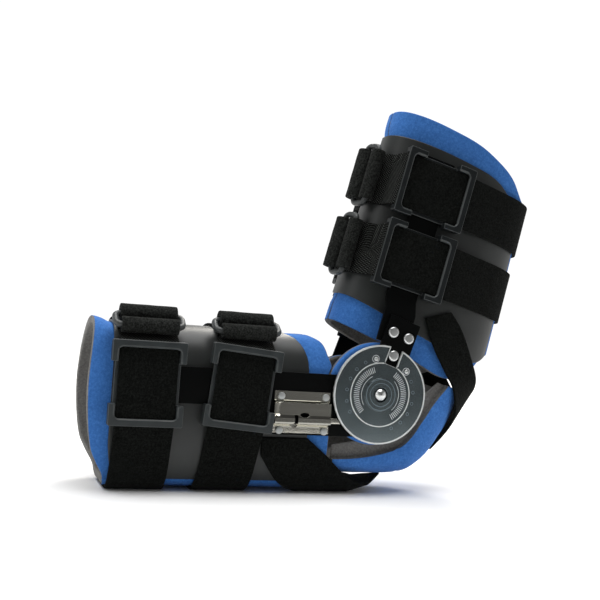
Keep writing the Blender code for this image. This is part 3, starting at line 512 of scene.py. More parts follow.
def loop_webbing(name, dark, fuzz, ribbed=False):
    """Loop-pile webbing: deep black with a dusty bloom where the loops catch light. The ribbed side is the plain
    knitted back, whose stitches are drawn at twice their size, so that they show."""
    made, shader = surface(name, roughness=1.0, specular_ior_level=0.02, sheen_weight=0.03, sheen_roughness=0.5)
    link = made.node_tree.links.new
    place = node(made, "ShaderNodeTexCoord")
    loops = node(
        made, "ShaderNodeTexNoise", [("Vector", place, "Object")], scale=800.0, detail=4.0, roughness=0.75
    )
    worn = node(made, "ShaderNodeTexNoise", [("Vector", place, "Object")], scale=320.0, detail=3.0)
    bloom = node(made, "ShaderNodeMapRange", [("Value", worn, "Fac")], to_min=0.86, to_max=1.14)
    mixed = node(made, "ShaderNodeMath", [(0, loops, "Fac"), (1, bloom, "Result")], own_operation="MULTIPLY")
    ramp = node(made, "ShaderNodeValToRGB", [("Fac", mixed, 0)])
    ramp.color_ramp.elements[0].position, ramp.color_ramp.elements[1].position = 0.40, 0.72
    ramp.color_ramp.elements[0].color, ramp.color_ramp.elements[1].color = srgb(dark), srgb(fuzz)
    height = mixed
    if ribbed:
        uv = node(made, "ShaderNodeUVMap", own_uv_map="cloth")
        split = node(made, "ShaderNodeSeparateXYZ", [("Vector", uv, "UV")])
        waves = []
        for axis, pitch in (("X", 0.0022), ("Y", 0.0019)):
            turned = node(made, "ShaderNodeMath", [(0, split, axis)], own_operation="MULTIPLY")
            turned.inputs[1].default_value = 2 * math.pi / pitch
            waves.append(node(made, "ShaderNodeMath", [(0, turned, 0)], own_operation="SINE"))
        dots = node(made, "ShaderNodeMath", [(0, waves[0], 0), (1, waves[1], 0)], own_operation="MULTIPLY")
        height = node(made, "ShaderNodeMath", [(0, dots, 0), (1, loops, "Fac")], own_operation="ADD")
        lit = node(made, "ShaderNodeMapRange", [("Value", dots, 0)], from_min=0.0, from_max=0.8)
        ramp.color_ramp.elements[0].position, ramp.color_ramp.elements[1].position = 0.1, 1.0
        ramp.color_ramp.elements[1].color = srgb("#4a4d4a")
        link(lit.outputs["Result"], ramp.inputs["Fac"])
    bump = node(made, "ShaderNodeBump", [("Height", height, 0)], strength=0.85, distance=0.0007)
    link(ramp.outputs["Color"], shader.inputs["Base Color"])
    link(bump.outputs["Normal"], shader.inputs["Normal"])
    return made


def angle_at(cuff, along, z):
    """The angle on the outer side where the strap's inner face is at this height."""
    low, high = -89.0, 89.0
    for _ in range(30):
        middle = (low + high) / 2
        if outline(cuff, along, middle, CLEAR)[1] < z:
            low = middle
        else:
            high = middle
    return low


def strap_path(cuff, along, angle, shift):
    """Where the strap's inner face runs: over the frame's rails, then straight to where it meets the shell."""
    over = section(cuff, along)[2] + 4 * CLEAR + BAR_THICK + RAIL_THICK
    y, z = outline(cuff, along, angle, CLEAR)
    beyond = abs(z - shift) - STRAP_FLAT_HALF
    if beyond <= 1e-6:
        return math.copysign(over, y), z
    slopes = []
    for step in range(0, 90, 3):
        py, pz = outline(cuff, along, math.copysign(step, z - shift), CLEAR)
        out = abs(pz - shift) - STRAP_FLAT_HALF
        if out > 0.002:
            slopes.append(((over - abs(py)) / out, out))
    slope, meets = min(slopes)
    straight = over - slope * beyond if beyond < meets else 0.0
    return math.copysign(max(abs(y), straight), y), z


def strap_columns(cuff, centre, lean_deg):
    """The strap from slit to slit under the ring, with soft corners where it leaves a frame."""
    lean = math.tan(math.radians(lean_deg))
    slit = angle_at(cuff, centre, section(cuff, centre)[0] - cuff["ring_drop"])
    angles = [slit + STRAP_GAP_DEG + (360.0 - 2 * STRAP_GAP_DEG) * i / 200 for i in range(201)]
    columns = []
    for angle in angles:
        _, place = outline(cuff, centre, angle, CLEAR)
        column = []
        for j in range(9):
            edge = STRAP_WIDTH * (j / 8 - 0.5)
            along = centre - lean * place + edge
            y, z = strap_path(cuff, along, angle, lean * edge)
            thick = outline(cuff, along, angle, CLEAR + STRAP_WALL)
            plain = outline(cuff, along, angle, CLEAR)
            worn = PILE_DEEP * noise.noise(Vector((angle / 3.0, j * 0.9, centre * 90.0)))
            outer = (y + (thick[0] - plain[0]) * (1 + worn / STRAP_WALL), z + thick[1] - plain[1])
            column.append([placed(cuff, along, y, z), placed(cuff, along, *outer)])
        columns.append(column)
    return columns, outline(cuff, centre, slit, CLEAR)[0]


pile = loop_webbing("loop_pile_webbing_black", STRAP_BLACK, STRAP_FUZZ)
knit = loop_webbing("knitted_webbing_back", "#0a0b0a", "#1a1b1a", ribbed=True)
for word, cuff, centre, lean_deg, body in STRAPS:
    shape, slit_y = strap_columns(cuff, centre, lean_deg)
    made = wall(f"{word}_strap_webbing", shape, pile)
    made.data.materials.append(knit)
    for face in made.data.polygons:
        local = face.center - ELBOW
        if cuff["turn"] is not None:
            local = Matrix.Rotation(cuff["turn"], 3, "Y") @ local
        if face.center.y < slit_y and local.z > KNIT_FROM:
            face.material_index = 1
    rounded(made, 0.0006)
    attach(made, body)
    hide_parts(f"{word}_strap")


# The frames over the straps. Injection-moulded nylon in dark grey: two crossbars with short arms, joined by thin
# rails that lie under the strap. The inner corners are rounded and the inner edge is chamfered.
NYLON_GREY, NYLON_BLACK = "#292d2e", "#181b1c"


def moulded_nylon(name, colour, pale, gloss):
    """Moulded nylon: matt from the tool's spark finish, clouded at random towards a paler tone. A paler copy of it
    lies on the frames' bevels as a painted edge highlight.
    """
    made, shader = surface(name, roughness=0.42, specular_ior_level=gloss, ior=1.53)
    link = made.node_tree.links.new
    place = node(made, "ShaderNodeTexCoord")
    grain = node(made, "ShaderNodeTexNoise", [("Vector", place, "Object")], scale=1600.0, detail=2.0)
    cloud = node(made, "ShaderNodeTexNoise", [("Vector", place, "Object")], scale=120.0, detail=3.0)
    ramp = node(made, "ShaderNodeValToRGB", [("Fac", cloud, "Fac")])
    ramp.color_ramp.elements[0].position, ramp.color_ramp.elements[1].position = 0.35, 0.8
    ramp.color_ramp.elements[0].color, ramp.color_ramp.elements[1].color = srgb(colour), srgb(pale)
    bump = node(made, "ShaderNodeBump", [("Height", grain, "Fac")], strength=0.12, distance=0.0002)
    link(ramp.outputs["Color"], shader.inputs["Base Color"])
    link(bump.outputs["Normal"], shader.inputs["Normal"])
    return made


nylon = moulded_nylon("moulded_nylon_grey", NYLON_GREY, "#323738", 0.25)
black_nylon = moulded_nylon("moulded_nylon_black", NYLON_BLACK, "#1f2223", 0.12)
# A paler, glossier copy for the frames' outward bevels: a painted edge highlight
edge_highlight_nylon = moulded_nylon("moulded_nylon_painted_edge_highlight", "#343838", "#424646", 0.35)
FRAME_LONG, FRAME_ACROSS, FRAME_BAR, FRAME_POST, FRAME_NEAR = 0.0286, 0.0250, 0.0050, 0.0045, 2e-4


def bevel_edges(made, chosen, width, segments):
    """Bevels the edges that the test picks."""
    bm = bmesh.new()
    bm.from_mesh(made.data)
    picked = [edge for edge in bm.edges if chosen(edge)]
    bmesh.ops.bevel(
        bm, geom=picked, offset=width, offset_type="OFFSET", segments=segments, profile=0.5, affect="EDGES",
        clamp_overlap=True,
    )
    bm.to_mesh(made.data)
    bm.free()


pattern = copy_of("wrist_frame_near", "frame_pattern", nylon, 0)
low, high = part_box("wrist_frame_near")
middle = (low + high) / 2
pattern.data.transform(Matrix.Translation((-middle.x, -low.y, -middle.z)))
inner_x, inner_z = FRAME_ACROSS - FRAME_POST, FRAME_LONG - FRAME_BAR


def upright(edge):
    a, b = (v.co for v in edge.verts)
    return abs(a.x - b.x) < 1e-5 and abs(a.z - b.z) < 1e-5 and abs(a.y - b.y) > 0.001


def window_corner(edge):
    spot = edge.verts[0].co
    return upright(edge) and abs(abs(spot.x) - inner_x) < FRAME_NEAR and abs(abs(spot.z) - inner_z) < FRAME_NEAR


def outer_corner(edge):
    spot = edge.verts[0].co
    return upright(edge) and abs(abs(spot.x) - FRAME_ACROSS) < FRAME_NEAR and abs(spot.z) > FRAME_LONG - 6e-4


def inner_top(edge):
    """An edge of the outward face that borders the window."""
    a, b = (v.co for v in edge.verts)
    if max(abs(a.y), abs(b.y)) > 1e-5:
        return False
    inside = all(abs(p.x) < inner_x + FRAME_NEAR and abs(p.z) < inner_z + FRAME_NEAR for p in (a, b))
    return inside and sum(abs(f.normal.y) > 0.9 for f in edge.link_faces) == 1


bevel_edges(pattern, window_corner, 0.0030, 4)
bevel_edges(pattern, outer_corner, 0.0012, 3)
bevel_edges(pattern, inner_top, 0.0011, 1)
rounded(pattern, 0.0004)
# Faces that turn from the outward face towards the sides take the paler nylon, a painted edge highlight
pattern.data.materials.append(edge_highlight_nylon)
for face in pattern.data.polygons:
    if -0.97 < face.normal.y < -0.2:
        face.material_index = 1
for word, cuff, _, lean_deg, body in STRAPS:
    for side in ("near", "far"):
        low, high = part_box(f"{word}_frame_{side}")
        middle = (low + high) / 2
        made = shown(f"{word}_frame_{side}_moulding", pattern.data.copy())
        made.data.name = made.name
        turn = Matrix.Rotation(-BEND if cuff["turn"] else math.radians(lean_deg), 4, "Y")
        flip = Matrix.Scale(-1.0, 4, (0.0, 1.0, 0.0)) if side == "far" else Matrix.Identity(4)
        place = Matrix.Translation((middle.x, high.y if side == "far" else low.y, middle.z))
        made.data.transform(place @ turn @ flip)
        if side == "far":
            made.data.flip_normals()
        if body == "upper_arm":
            made.data.materials[0] = black_nylon
        smooth(made, 40.0)
        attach(made, body)
        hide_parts(f"{word}_frame_{side}")
bpy.data.objects.remove(pattern)


# The rings. Moulded in a lighter grey nylon, each is a rounded rectangle of 4.4 mm round section lying on the
# strap at the near shoulder.
RINGS = {
    "wrist": ((-0.1323, -0.03285, 0.11682), (0.0, 0.8412, 0.5408)),
    "forearm": ((-0.06337, -0.03285, 0.11682), (0.0, 0.8412, 0.5408)),
    "upper": ((0.01380, -0.01012, 0.18497), (-0.3187, 0.9450, 0.0736)),
    "armpit": ((0.02794, -0.01017, 0.23856), (-0.3172, 0.9455, 0.0732)),
}
RING_LENGTH, RING_SPACING, RING_WIRE, RING_CORNER = 0.0500, 0.0130, 0.0022, 0.0040


def ring_axes(word, cuff):
    middle, across = Vector(RINGS[word][0]), Vector(RINGS[word][1])
    limb = Vector((1.0, 0.0, 0.0)) if cuff["turn"] is None else Vector((math.cos(BEND), 0.0, math.sin(BEND)))
    across = (across - limb * across.dot(limb)).normalized()
    return middle, limb, across, across.cross(limb) if cuff["turn"] is not None else limb.cross(across)


pale_nylon = moulded_nylon("moulded_nylon_pale_grey", "#363939", "#464949", 0.4)
for word, cuff, _, _, body in STRAPS:
    middle, limb, across, _ = ring_axes(word, cuff)
    long_half, short_half = RING_LENGTH / 2 - RING_WIRE - RING_CORNER, RING_SPACING / 2 - RING_CORNER
    loop = []
    for turn_deg, x, z in ((0, 1, 1), (90, -1, 1), (180, -1, -1), (270, 1, -1)):
        for k in range(7):
            t = math.radians(turn_deg + 15 * k)
            loop.append((x * long_half + RING_CORNER * math.cos(t), z * short_half + RING_CORNER * math.sin(t)))
    curve = bpy.data.curves.new(f"{word}_ring_moulding", "CURVE")
    curve.dimensions = "3D"
    curve.bevel_depth = RING_WIRE
    curve.bevel_resolution = 5
    spline = curve.splines.new("POLY")
    spline.points.add(len(loop) - 1)
    for point, (x, w) in zip(spline.points, loop):
        point.co = (*(middle + limb * x + across * w), 1.0)
    spline.use_cyclic_u = True
    made = shown(f"{word}_ring_moulding", curve)
    curve.materials.append(pale_nylon)
    only(made)
    bpy.ops.object.convert(target="MESH")
    smooth(made, 60.0)
    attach(made, body)
    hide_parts(f"{word}_ring")


# The folded strap ends. Each end goes up through the ring, turns over its bar and is pressed back on itself, which
# makes a soft roll at each bar. The two layers of the fold show at the roll's ends.
LOW_ROLL, HIGH_ROLL, ROLL_HALF, FOLD_SUNK = 0.0056, 0.0070, 0.0195, 0.0004
# The folds get a lighter copy of the same webbing: a painted highlight where their round tops meet the light
fold_pile_painted_highlight = loop_webbing("loop_pile_webbing_fold_painted_highlight", "#121312", "#383a38")


def roll_outline(radius, side):
    """The fold's section: round over the bar, flattened where it rests on the strap."""
    points = []
    for k in range(32):
        t = 2 * math.pi * k / 32
        a, n = math.cos(t), math.sin(t)
        flat = 1.0 - 0.10 * eased(-n)
        points.append((side * RING_SPACING / 2 + radius * a * (0.97 if a * side < 0 else 1.0), radius * n * flat))
    return points


for word, cuff, centre, _, body in STRAPS:
    middle, limb, across, normal = ring_axes(word, cuff)
    bm = bmesh.new()
    for radius, side in ((LOW_ROLL, -1), (HIGH_ROLL, 1)):
        section_points = roll_outline(radius, side)
        centre_a = side * RING_SPACING / 2
        hole = RING_WIRE + 2 * CLEAR
        rings = []
        for k in range(21):
            x = -ROLL_HALF + 2 * ROLL_HALF * k / 20
            ring = []
            for m, (a, n) in enumerate(section_points):
                sway = 1.0 + 0.030 * noise.noise(Vector((x * 120.0, m / 4.0, radius * 900.0 + centre * 50.0)))
                spot = across * (centre_a + (a - centre_a) * sway)
                ring.append(bm.verts.new(middle + limb * x + spot + normal * n * sway))
            rings.append(ring)
        count = len(section_points)
        for lower, upper in zip(rings, rings[1:]):
            for m in range(count):
                bm.faces.new([lower[m], lower[(m + 1) % count], upper[(m + 1) % count], upper[m]])
        for end, ring in ((-1, rings[0]), (1, rings[-1])):
            inner = []
            for m in range(count):
                t = 2 * math.pi * m / count
                spot = across * (centre_a + hole * math.cos(t)) + normal * hole * math.sin(t)
                inner.append(bm.verts.new(middle + limb * (end * (ROLL_HALF - FOLD_SUNK)) + spot))
            for m in range(count):
                bm.faces.new([ring[m], ring[(m + 1) % count], inner[(m + 1) % count], inner[m]])
            rings.append(inner)
        start, finish = rings[-2], rings[-1]
        for m in range(count):
            bm.faces.new([start[m], start[(m + 1) % count], finish[(m + 1) % count], finish[m]])
    made = piece(f"{word}_strap_fold", bm, fold_pile_painted_highlight)
    rounded(made, 0.0007, 2, 50.0)
    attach(made, body)
    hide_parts(f"{word}_strap_roll")


# The lock on the near side. Bent from 1.2 mm nickel-plated steel and riveted to the wide plate; a bolt slides in
# its rounded ridge and bears on the dial's rim. The plating is bright, with fine wear along the channel.
def plated_steel(name, colour, low, high, scratch=0.15):
    """Bright nickel plate on sheet steel: mirror-like with faint drawing lines and a warm cast."""
    made, shader = surface(name, base_color=srgb(colour), metallic=1.0, roughness=low)
    link = made.node_tree.links.new
    place = node(made, "ShaderNodeTexCoord")
    stretch = node(made, "ShaderNodeMapping", [("Vector", place, "Object")], scale=(0.12, 1.0, 1.0))
    lines = node(made, "ShaderNodeTexNoise", [("Vector", stretch, "Vector")], scale=900.0, detail=3.0)
    patch = node(made, "ShaderNodeTexNoise", [("Vector", place, "Object")], scale=130.0, detail=2.0)
    gloss = node(made, "ShaderNodeMapRange", [("Value", patch, "Fac")], to_min=low, to_max=high)
    bump = node(made, "ShaderNodeBump", [("Height", lines, "Fac")], strength=scratch, distance=0.0001)
    link(gloss.outputs["Result"], shader.inputs["Roughness"])
    link(bump.outputs["Normal"], shader.inputs["Normal"])
    return made


nickel = plated_steel("nickel_plated_steel", "#c2c0b6", 0.06, 0.14)
BRACKET_LEFT, BRACKET_SEAT, SHEET = -0.0787, 0.0407, 0.0012
# The section of the pressing: how far out from its seat, and height from the hinge axis
PRESSING = (
    (0.0012, -0.0006), (0.0012, -0.0062), (0.0014, -0.0070), (0.0044, -0.0084), (0.0048, -0.0092), (0.0047, -0.0132),
    (0.0048, -0.0166), (0.0050, -0.0174), (0.0060, -0.0188), (0.0062, -0.0198), (0.0062, -0.0220), (0.0054, -0.0231),
    (0.0018, -0.0236), (0.0012, -0.0240), (0.0017, -0.0253), (0.0012, -0.0259), (0.0012, -0.0300),
)
STATIONS = (0.0, 0.0005, 0.0013, 0.0023, 0.0036, 0.0050, 0.0120, 0.0200, 0.0280, 0.0345, 0.0400, 0.0415)
columns = []
for out, z in PRESSING:
    column = []
    for x in STATIONS:
        in_channel = -0.0172 < z < -0.0088
        funnel = 0.0017 * (1.0 - eased(x / 0.0046)) if in_channel else 0.0
        face = BRACKET_SEAT + out - funnel
        inner = max(BRACKET_SEAT, face - SHEET)
        place = ELBOW + Vector((BRACKET_LEFT + x, 0.0, z))
        column.append([place - Vector((0.0, inner, 0.0)), place - Vector((0.0, face, 0.0))])
    columns.append(column)
bracket = wall("lock_bracket_pressing", columns, nickel)


def punched(made, x, z, wide, high, round_end):
    """Punches a hole through the sheet, with a round or a square tool."""
    place = ELBOW + Vector((x, -BRACKET_SEAT - 0.0035, z))
    if round_end:
        bpy.ops.mesh.primitive_cylinder_add(vertices=28, radius=0.5, depth=0.0062, location=place)
        tool = bpy.context.active_object
        tool.rotation_euler = (math.radians(90.0), 0.0, 0.0)
        tool.scale = (wide, high, 1.0)
    else:
        bpy.ops.mesh.primitive_cube_add(size=1.0, location=place)
        tool = bpy.context.active_object
        tool.scale = (wide, 0.0062, high)
    cut = made.modifiers.new("punch", "BOOLEAN")
    cut.operation, cut.object, cut.solver = "DIFFERENCE", tool, "EXACT"
    only(made)
    bpy.ops.object.modifier_apply(modifier="punch")
    bpy.data.objects.remove(tool)


# A slot across the channel, a round end below it and an oval to its right
punched(bracket, -0.0630, -0.0203, 0.0026, 0.0068, False)
punched(bracket, -0.0632, -0.0243, 0.0050, 0.0040, True)
punched(bracket, -0.0567, -0.0168, 0.0068, 0.0034, True)
rounded(bracket, 0.00022, 2, 28.0)
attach(bracket, "forearm")
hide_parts("lock_bracket")
made = copy_of("lock_bolt", "lock_bolt_bar", nickel, 0.0004)
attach(made, "lock_bolt")
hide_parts("lock_bolt")


# The rivets. Solid steel, turned and nickel plated: flat round heads on the lock, domed heads on the bars, and two
# small stop pins in the near dial.
chrome = plated_steel("chrome_plated_rivet", "#d2d4d3", 0.24, 0.34, 0.04)
flat_nickel = plated_steel("flat_nickel_rivet", "#b2b5b4", 0.45, 0.60, 0.25)


def head(cad_name, name, material, domed):
    """A rivet's head: a cylinder of the CAD piece's size, its outer edge bevelled flat or all the way to a dome."""
    low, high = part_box(cad_name)
    middle, radius, tall = (low + high) / 2, (high.x - low.x) / 2, high.y - low.y
    bpy.ops.mesh.primitive_cylinder_add(
        vertices=48, radius=radius, depth=tall, location=middle, rotation=(math.radians(90.0), 0.0, 0.0)
    )
    made = bpy.context.active_object
    made.name = made.data.name = name
    made.data.materials.append(material)
    bpy.ops.object.transform_apply(location=True, rotation=True, scale=True)
    outer = low.y if low.y < 0 else high.y
    bpy.ops.object.mode_set(mode="EDIT")
    bpy.ops.mesh.select_all(action="DESELECT")
    bpy.ops.object.mode_set(mode="OBJECT")
    for face in made.data.polygons:
        face.select = abs(face.center.y - outer) < 1e-5
    bpy.ops.object.mode_set(mode="EDIT")
    bpy.ops.mesh.select_mode(type="EDGE")
    bpy.ops.mesh.region_to_loop()
    width = min(tall * 0.92, radius * 0.6) if domed else tall * 0.35
    bpy.ops.mesh.bevel(offset=width, segments=7 if domed else 2, affect="EDGES")
    bpy.ops.object.mode_set(mode="OBJECT")
    if domed:
        # The flat left in the middle is inset, so that the shading runs on over the dome
        for face in made.data.polygons:
            face.select = abs(face.center.y - outer) < 1e-5
        bpy.ops.object.mode_set(mode="EDIT")
        bpy.ops.mesh.select_mode(type="FACE")
        bpy.ops.mesh.inset(thickness=radius * 0.22)
        bpy.ops.object.mode_set(mode="OBJECT")
    smooth(made, 60.0)
    return made


for word in ("notch", "front", "back"):
    for side in ("near", "far"):
        made = head(f"{word}_rivet_{side}", f"{word}_rivet_{side}_head", chrome, True)
        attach(made, "upper_arm")
        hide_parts(f"{word}_rivet_{side}")
for k in range(1, 5):
    made = head(f"lock_rivet_{k}", f"lock_rivet_{k}_head", flat_nickel, False)
    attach(made, "forearm")
    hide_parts(f"lock_rivet_{k}")
for word in ("front", "back"):
    made = head(f"{word}_stop_pin", f"{word}_stop_pin_head", chrome, True)
    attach(made, "upper_arm")
    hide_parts(f"{word}_stop_pin")


# The hinge rivets. Turned steel pins through the pads' backing, both plates and the dial, with a rounded end.
for side in ("near", "far"):
    made = head(f"hinge_rivet_{side}", f"hinge_rivet_{side}_pin", chrome, False)
    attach(made, "forearm")
    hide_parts(f"hinge_rivet_{side}")


# The dials. Each is a 2 mm plate of polished stainless steel, darkened, with a rim polished bright. The near one is
# engraved with an inner ring and two combs of scale lines, has a notch for the tongue and rings round its boss. The
# rim's faces, raised lines along the rim and the notch's edges, and the boss's rings are drawn in pale steel that
# shows bright
# from every side: the polished edges and the rings are real, and their brightness is partly a painted highlight.
DIAL_FACE, DIAL_LINE_AND_HIGHLIGHT = "#5d676a", "#dfe2e1"
DIAL_OUT, BOSS_OUT, BOSS_RADIUS = 0.0450, 0.0464, 0.0120
DIAL_RADIUS, FAR_DIAL_RADIUS, RIM = 0.0360, 0.0240, 0.0007
# The tongue in the dial's notch stands 5 degrees less steeply than the cuff
TONGUE = math.radians(72.0)


def dark_mirror(name, colour):
    """Polished steel under a smoke-dark lacquer: it mirrors the room faintly."""
    made, shader = surface(
        name, base_color=srgb(colour), metallic=0.85, roughness=0.2, coat_weight=0.3, coat_roughness=0.08
    )
    place = node(made, "ShaderNodeTexCoord")
    smear = node(made, "ShaderNodeTexNoise", [("Vector", place, "Object")], scale=60.0, detail=4.0)
    gloss = node(made, "ShaderNodeMapRange", [("Value", smear, "Fac")], to_min=0.14, to_max=0.30)
    made.node_tree.links.new(gloss.outputs["Result"], shader.inputs["Roughness"])
    return made


smoked = dark_mirror("smoked_polished_steel", DIAL_FACE)
pale_line_and_highlight_steel = plated_steel("polished_steel_lines_and_painted_highlight", DIAL_LINE_AND_HIGHLIGHT, 0.42, 0.55, 0.05)
engraved = plated_steel("engraved_line_steel", "#e4e8ea", 0.5, 0.6, 0.05)


def flat_strip(bm, points, y, thick, width):
    """A thin raised line along points in x and z, on a face at y. It stands proud by its thickness, outwards."""
    rows = []
    for k, (x, z) in enumerate(points):
        ax, az = points[max(k - 1, 0)]
        bx, bz = points[min(k + 1, len(points) - 1)]
        length = math.hypot(bx - ax, bz - az) or 1.0
        nx, nz = -(bz - az) / length * width / 2, (bx - ax) / length * width / 2
        rows.append(
            [bm.verts.new(p) for p in (
                (x + nx, y, z + nz), (x - nx, y, z - nz), (x - nx, y - thick, z - nz), (x + nx, y - thick, z + nz)
            )]
        )
    for a, b in zip(rows, rows[1:]):
        for k in range(4):
            bm.faces.new([a[k], a[(k + 1) % 4], b[(k + 1) % 4], b[k]])
    bm.faces.new(rows[0])
    bm.faces.new(rows[-1])


def arc(radius, from_deg, to_deg, steps, x=0.0, z=0.0):
    turns = [math.radians(from_deg + (to_deg - from_deg) * k / steps) for k in range(steps + 1)]
    return [(x + radius * math.cos(t), z + radius * math.sin(t)) for t in turns]


def on_dial(name, bm, material, sides=("near",)):
    """Places marks, made about the origin with the tongue along X, on a dial's face."""
    turn = Matrix.Translation((ELBOW.x, 0.0, ELBOW.z)) @ Matrix.Rotation(-TONGUE, 4, "Y")
    bm.transform(turn)
    if "far" in sides:
        bm.transform(Matrix.Scale(-1.0, 4, (0.0, 1.0, 0.0)))
    made = piece(name, bm, material)
    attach(made, "upper_arm")


for side in ("near", "far"):
    made = copy_of(f"dial_{side}", f"dial_{side}_plate", smoked, 0.0005, 3)
    made.data.materials.append(pale_line_and_highlight_steel)
    rim = DIAL_RADIUS if side == "near" else FAR_DIAL_RADIUS
    # Edge faces beyond the boss take the pale steel: the polished rim and notch edges, drawn brighter as a painted
    # highlight
    for face in made.data.polygons:
        flat = face.center - ELBOW
        reach = math.hypot(flat.x, flat.z)
        facing = abs(face.normal.y)
        if facing < 0.97 and (reach > rim - 0.0008 or reach > BOSS_RADIUS + 0.002):
            face.material_index = 1
    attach(made, "upper_arm")
    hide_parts(f"dial_{side}")

FACE_Y, LINE, NOTCH_HALF = -DIAL_OUT, 0.00006, 0.0053
# Radii of the inner ring, the comb's teeth and the line they stand on, the stop pins and the marks
RING_AT, TEETH_FROM, TEETH_TO, COMB_AT, PINS_AT, MARKS_AT = 0.0230, 0.0164, 0.0206, 0.0146, 0.0263, 0.0262
bm = bmesh.new()
flat_strip(bm, arc(RING_AT, 14.0, 346.0, 96), FACE_Y, 0.00018, 0.0008)
# A raised pale line along the rim and two along the notch's edges: a painted highlight on the polished edges
flat_strip(bm, arc(DIAL_RADIUS - RIM, 8.6, 351.4, 120), FACE_Y, 0.00014, 0.0011)
for side in (-1, 1):
    edge = [(0.0236, side * NOTCH_HALF), (DIAL_RADIUS - 0.0006, side * NOTCH_HALF)]
    flat_strip(bm, edge, FACE_Y, 0.00014, 0.0007)
on_dial("dial_ring_and_painted_highlight_lines", bm, pale_line_and_highlight_steel)
bm = bmesh.new()
for from_deg, to_deg in ((36.0, 150.0), (230.0, 342.0)):
    for k in range(27):
        t = math.radians(from_deg + (to_deg - from_deg) * k / 26)
        ends = [(r * math.cos(t), r * math.sin(t)) for r in (TEETH_FROM, TEETH_TO)]
        flat_strip(bm, ends, FACE_Y, LINE, 0.00042)
    flat_strip(bm, arc(COMB_AT, from_deg + 10, to_deg - 10, 40), FACE_Y, LINE, 0.0003)
for turn_deg in (-29.5, 29.5):
    t = math.radians(turn_deg)
    x, z = PINS_AT * math.cos(t), PINS_AT * math.sin(t)
    flat_strip(bm, arc(0.0026, 0.0, 360.0, 20, x, z), FACE_Y, LINE, 0.0004)
on_dial("dial_scale", bm, engraved)
bm = bmesh.new()
# The boss's groove and edge, drawn as faint pale rings: the rings are real, and their paleness is a painted highlight
for radius in (0.0084, 0.0112):
    flat_strip(bm, arc(radius, 0.0, 360.0, 48), -BOSS_OUT, LINE, 0.0005)
for turn_deg in (48, 66, 84, 102, 120, 138, 222, 240, 258, 276, 294, 312):
    t = math.radians(turn_deg)
    x, z = MARKS_AT * math.cos(t), MARKS_AT * math.sin(t)
    flat_strip(bm, arc(0.0011, 0.0, 360.0, 14, x, z), FACE_Y, LINE, 0.0003)
on_dial("dial_marks", bm, plated_steel("faint_mark_and_highlight_steel", "#7c8a92", 0.35, 0.45, 0.05))
bm = bmesh.new()
# The far dial's rim line, a painted highlight on its polished edge
flat_strip(bm, arc(FAR_DIAL_RADIUS - RIM, 0.0, 360.0, 90), FACE_Y, 0.00014, 0.0010)
on_dial("far_dial_painted_highlight_line", bm, pale_line_and_highlight_steel, ("far",))


# The elbow pad. A boat of the same foam laminate behind the elbow, grey inside and blue outside, its blue cover
# turned over the rim and stitched down, with one dart sewn where it turns the corner.
PAD_ROWS = (
    (0.080, 0.002, 0.061, 0.008), (0.078, -0.010, 0.055, 0.001), (0.072, -0.025, 0.049, -0.007),
    (0.062, -0.041, 0.042, -0.018), (0.050, -0.054, 0.034, -0.030), (0.036, -0.061, 0.024, -0.0395),
    (0.014, -0.0625, 0.004, -0.0455), (-0.009, -0.0625, -0.012, -0.0480), (-0.030, -0.0625, -0.029, -0.0490),
)
PAD_HALF, PAD_WALL, DART_DEEP, PUFF = 0.0340, 0.0060, 0.0011, 0.0005


def smooth_row(rows, at):
    """A smooth curve through the rows of a table."""
    i = min(int(at), len(rows) - 2)
    t = at - i
    around = [rows[max(0, min(len(rows) - 1, i + k))] for k in (-1, 0, 1, 2)]
    return tuple(
        0.5 * (2 * b + (c - a) * t + (2 * a - 5 * b + 4 * c - d) * t * t + (3 * b - a - 3 * c + d) * t**3)
        for a, b, c, d in zip(*around)
    )


def pad_point(row, turn):
    middle_x, middle_z, rim_x, rim_z = smooth_row(PAD_ROWS, row)
    lift = 1.0 - math.cos(turn)
    x = middle_x + (rim_x - middle_x) * lift
    return Vector((x, PAD_HALF * math.sin(turn), middle_z + (rim_z - middle_z) * lift))


columns = []
for i in range(65):
    turn = math.radians(-90.0 + 180.0 * i / 64)
    column = []
    for j in range(65):
        row = 8.0 * j / 64
        here = pad_point(row, turn)
        near = min(max(row, 0.05), 7.95)
        inside = min(max(turn, -1.5), 1.5)
        along = pad_point(near + 0.05, inside) - pad_point(near - 0.05, inside)
        across = pad_point(near, inside + 0.02) - pad_point(near, inside - 0.02)
        normal = along.cross(across).normalized()
        dart = DART_DEEP * math.exp(-(((row - 5.15) / 0.07) ** 2)) * (0.35 + 0.65 * abs(math.sin(turn)))
        puff = PUFF * noise.noise(Vector((row * 1.3, turn * 2.2, 7.0)))
        outer = here - normal * (dart - puff)
        column.append([ELBOW + here - normal * PAD_WALL, ELBOW + outer])
    columns.append(column)
made = wall("elbow_pad_foam", columns, loop_cloth, grey_lining)
modified(made, "BEVEL", width=0.0018, segments=3, limit_method="ANGLE", angle_limit=math.radians(50.0))
smooth(made, 60.0)
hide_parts("elbow_pad")
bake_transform(made)

